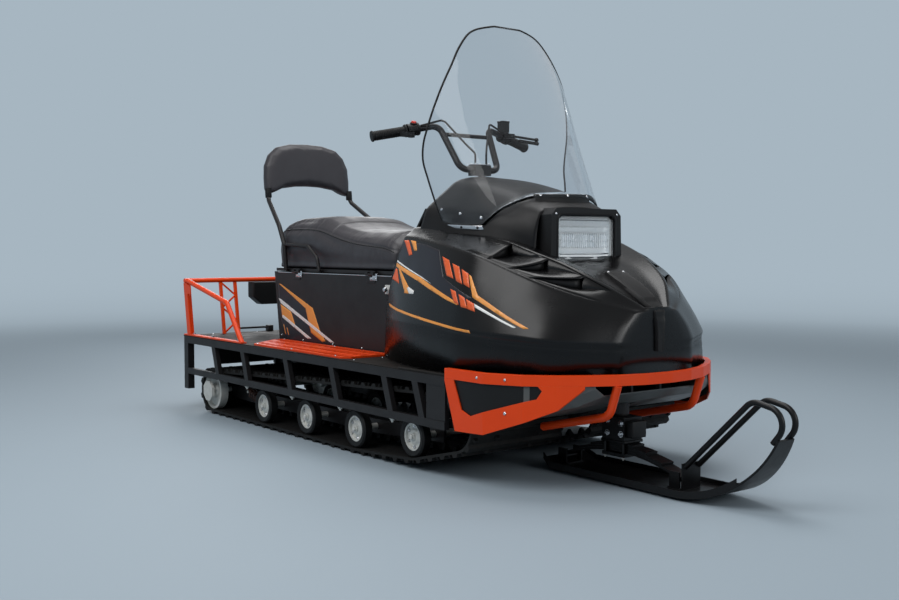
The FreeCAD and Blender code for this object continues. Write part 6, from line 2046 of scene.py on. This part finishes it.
                    if seat is not None:
                        fasteners.add(body, head, seat, -drive, across,
                                      Finishes.ZINC if head is nuts else Finishes.BRIGHT)
        for station in (601.0, 629.0, 1127.0, 1155.0):
            fasteners.add("chassis", Head.DOME, spot(station, -238.5, 571.0), (0, -1, 0), 6.0)


# ---------------------------------------------------------------- seat trim
@dataclass
class SeatTrim:
    """Piping and stitches of the cushion, and the sockets under the back."""

    step: float = 7.0
    cord: float = 2.6
    # a back socket: distances along its tube and radii
    socket: tuple = ((-16, 9.2), (-16, 12.5), (-14, 13.5), (10, 13.5), (22, 13), (22, 0))

    def lines(self, seat: Seat, cushion: Piece) -> list[Ring]:
        """Lays the shoulder seams and the rear cross seam on the swollen cover."""
        cover = surface(cushion)
        result = [[cover.find_nearest(place)[0] for place in path] for path in seat.seam_paths()]
        for cross in (seat.cross_seams[0], seat.cross_seams[-1]):
            hits = [cover.ray_cast(spot(seat.bowed(cross, y), y, 900.0), Vector((0, 0, -1)))[0]
                    for y in (lerp(-206.0, 206.0, i / 40) for i in range(41))]
            result.append([hit for hit in hits if hit is not None])
        return result

    def build(self, seat: Seat, cushion: Piece) -> None:
        """Builds the trim and lets it ride on the seat."""
        lines = self.lines(seat, cushion)
        for name, path in zip(("piping_right", "piping_left"), lines):
            mount(tube(name, path, self.cord, Finishes.PIPING, 8), "seat")
        cover = surface(cushion)
        spots = []
        for number, path in enumerate(lines):
            for rise in ((-0.008,) if number < 2 else (-0.006, 0.006)):
                gone = 0.0
                for a, b in zip(path, path[1:]):
                    gone += (b - a).length
                    if gone < self.step * MM:
                        continue
                    gone = 0.0
                    shift = Vector((0, 0, rise)) if number < 2 else Vector((rise, 0, 0))
                    place, normal, _, _ = cover.find_nearest(a + shift)
                    spots.append(Spot(place + normal * 0.0002, normal, b - a))
        stitch = Stamp("stitches", ((6, 1.0, 0.7, 0.7),), (2.6, 0.9, 1.0))
        mount(stitch.set_out("seat_stitches", spots, Finishes.THREAD), "seat")
        sockets = []
        tubes = NODES["backrest_tubes"].data.vertices
        top = max(vert.co.z for vert in tubes)
        for hand in (-1, 1):
            ends = [vert.co for vert in tubes if vert.co.z > top - 0.002 and vert.co.y * hand > 0.0]
            foot = sum(ends, Vector()) / len(ends)
            sockets.append(turned("socket", self.socket, foot, Vector((-0.1, 0, 1)), Finishes.MOULDED, 20))
        mount(join("back_sockets", sockets), "seat")


# ---------------------------------------------------------------- hood strap
@dataclass
class Strap:
    """Strap over the nose of the hood."""

    # station, height and half-width along the strap
    line: tuple = ((2058, 616, 30), (2080, 608, 40), (2140, 572, 42), (2190, 540, 36),
                   (2222, 515, 30), (2241, 500, 23), (2247, 470, 19), (2250, 430, 16),
                   (2252, 388, 14))
    thick: float = 10.0
    # shares of the half-width and of the thickness, once over the section
    section: tuple = ((-1, -0.8), (-0.94, 0.62), (-0.84, 0.96), (-0.55, 0.72), (0, 1), (0.55, 0.72),
                      (0.84, 0.96), (0.94, 0.62), (1, -0.8))

    def build(self, hood: Piece, fasteners: Fasteners) -> None:
        """Builds the strap along the hood's middle and lets it ride on the hood."""
        shell = surface(hood)
        rows = []
        path = smooth_path([(x * MM, y * MM, z * MM) for x, z, y in self.line], 5)
        for i, (x, half, z) in enumerate(path):
            near, normal, _, _ = shell.find_nearest(Vector((x + CAD_BOX[0].x, 0.004, z)))
            normal = Vector((normal.x, 0.0, normal.z)).normalized()
            if normal.x + normal.z < 0.0:
                normal = -normal
            near = Vector((near.x, 0.0, near.z))
            thick = self.thick * MM * min(1.0, 0.25 + i * 0.15)
            rows.append([near + normal * (lift * thick) + Vector((0, y * half, 0)) for y, lift in self.section])
        mount(skinned("nose_strap", rows, Finishes.MOULDED, 40.0), "hood")
        for k in (1, 7):
            fasteners.add("hood", Head.DOME, rows[5][k] + Vector((0, 0.002 * (4 - k), 0.002)), (0.55, 0, 0.83), 9.0)


def main() -> None:
    """Builds every sub-assembly in order and reports each piece."""
    logging.basicConfig(level=logging.INFO, format="%(name)s: %(message)s")
    Studio().build()
    Dresser().dress()
    fasteners = Fasteners()
    seat = Seat()
    SeatTrim().build(seat, seat.build())
    hood = Hood().build()
    Cowl().build()
    Shield().build(fasteners)
    Headlight().build(fasteners)
    Stripes().build(hood)
    Strap().build(hood, fasteners)
    Bars().build(fasteners)
    RunningGear().build(fasteners)
    Fittings().build(fasteners)
    fasteners.build()


if __name__ == "__main__":
    main()
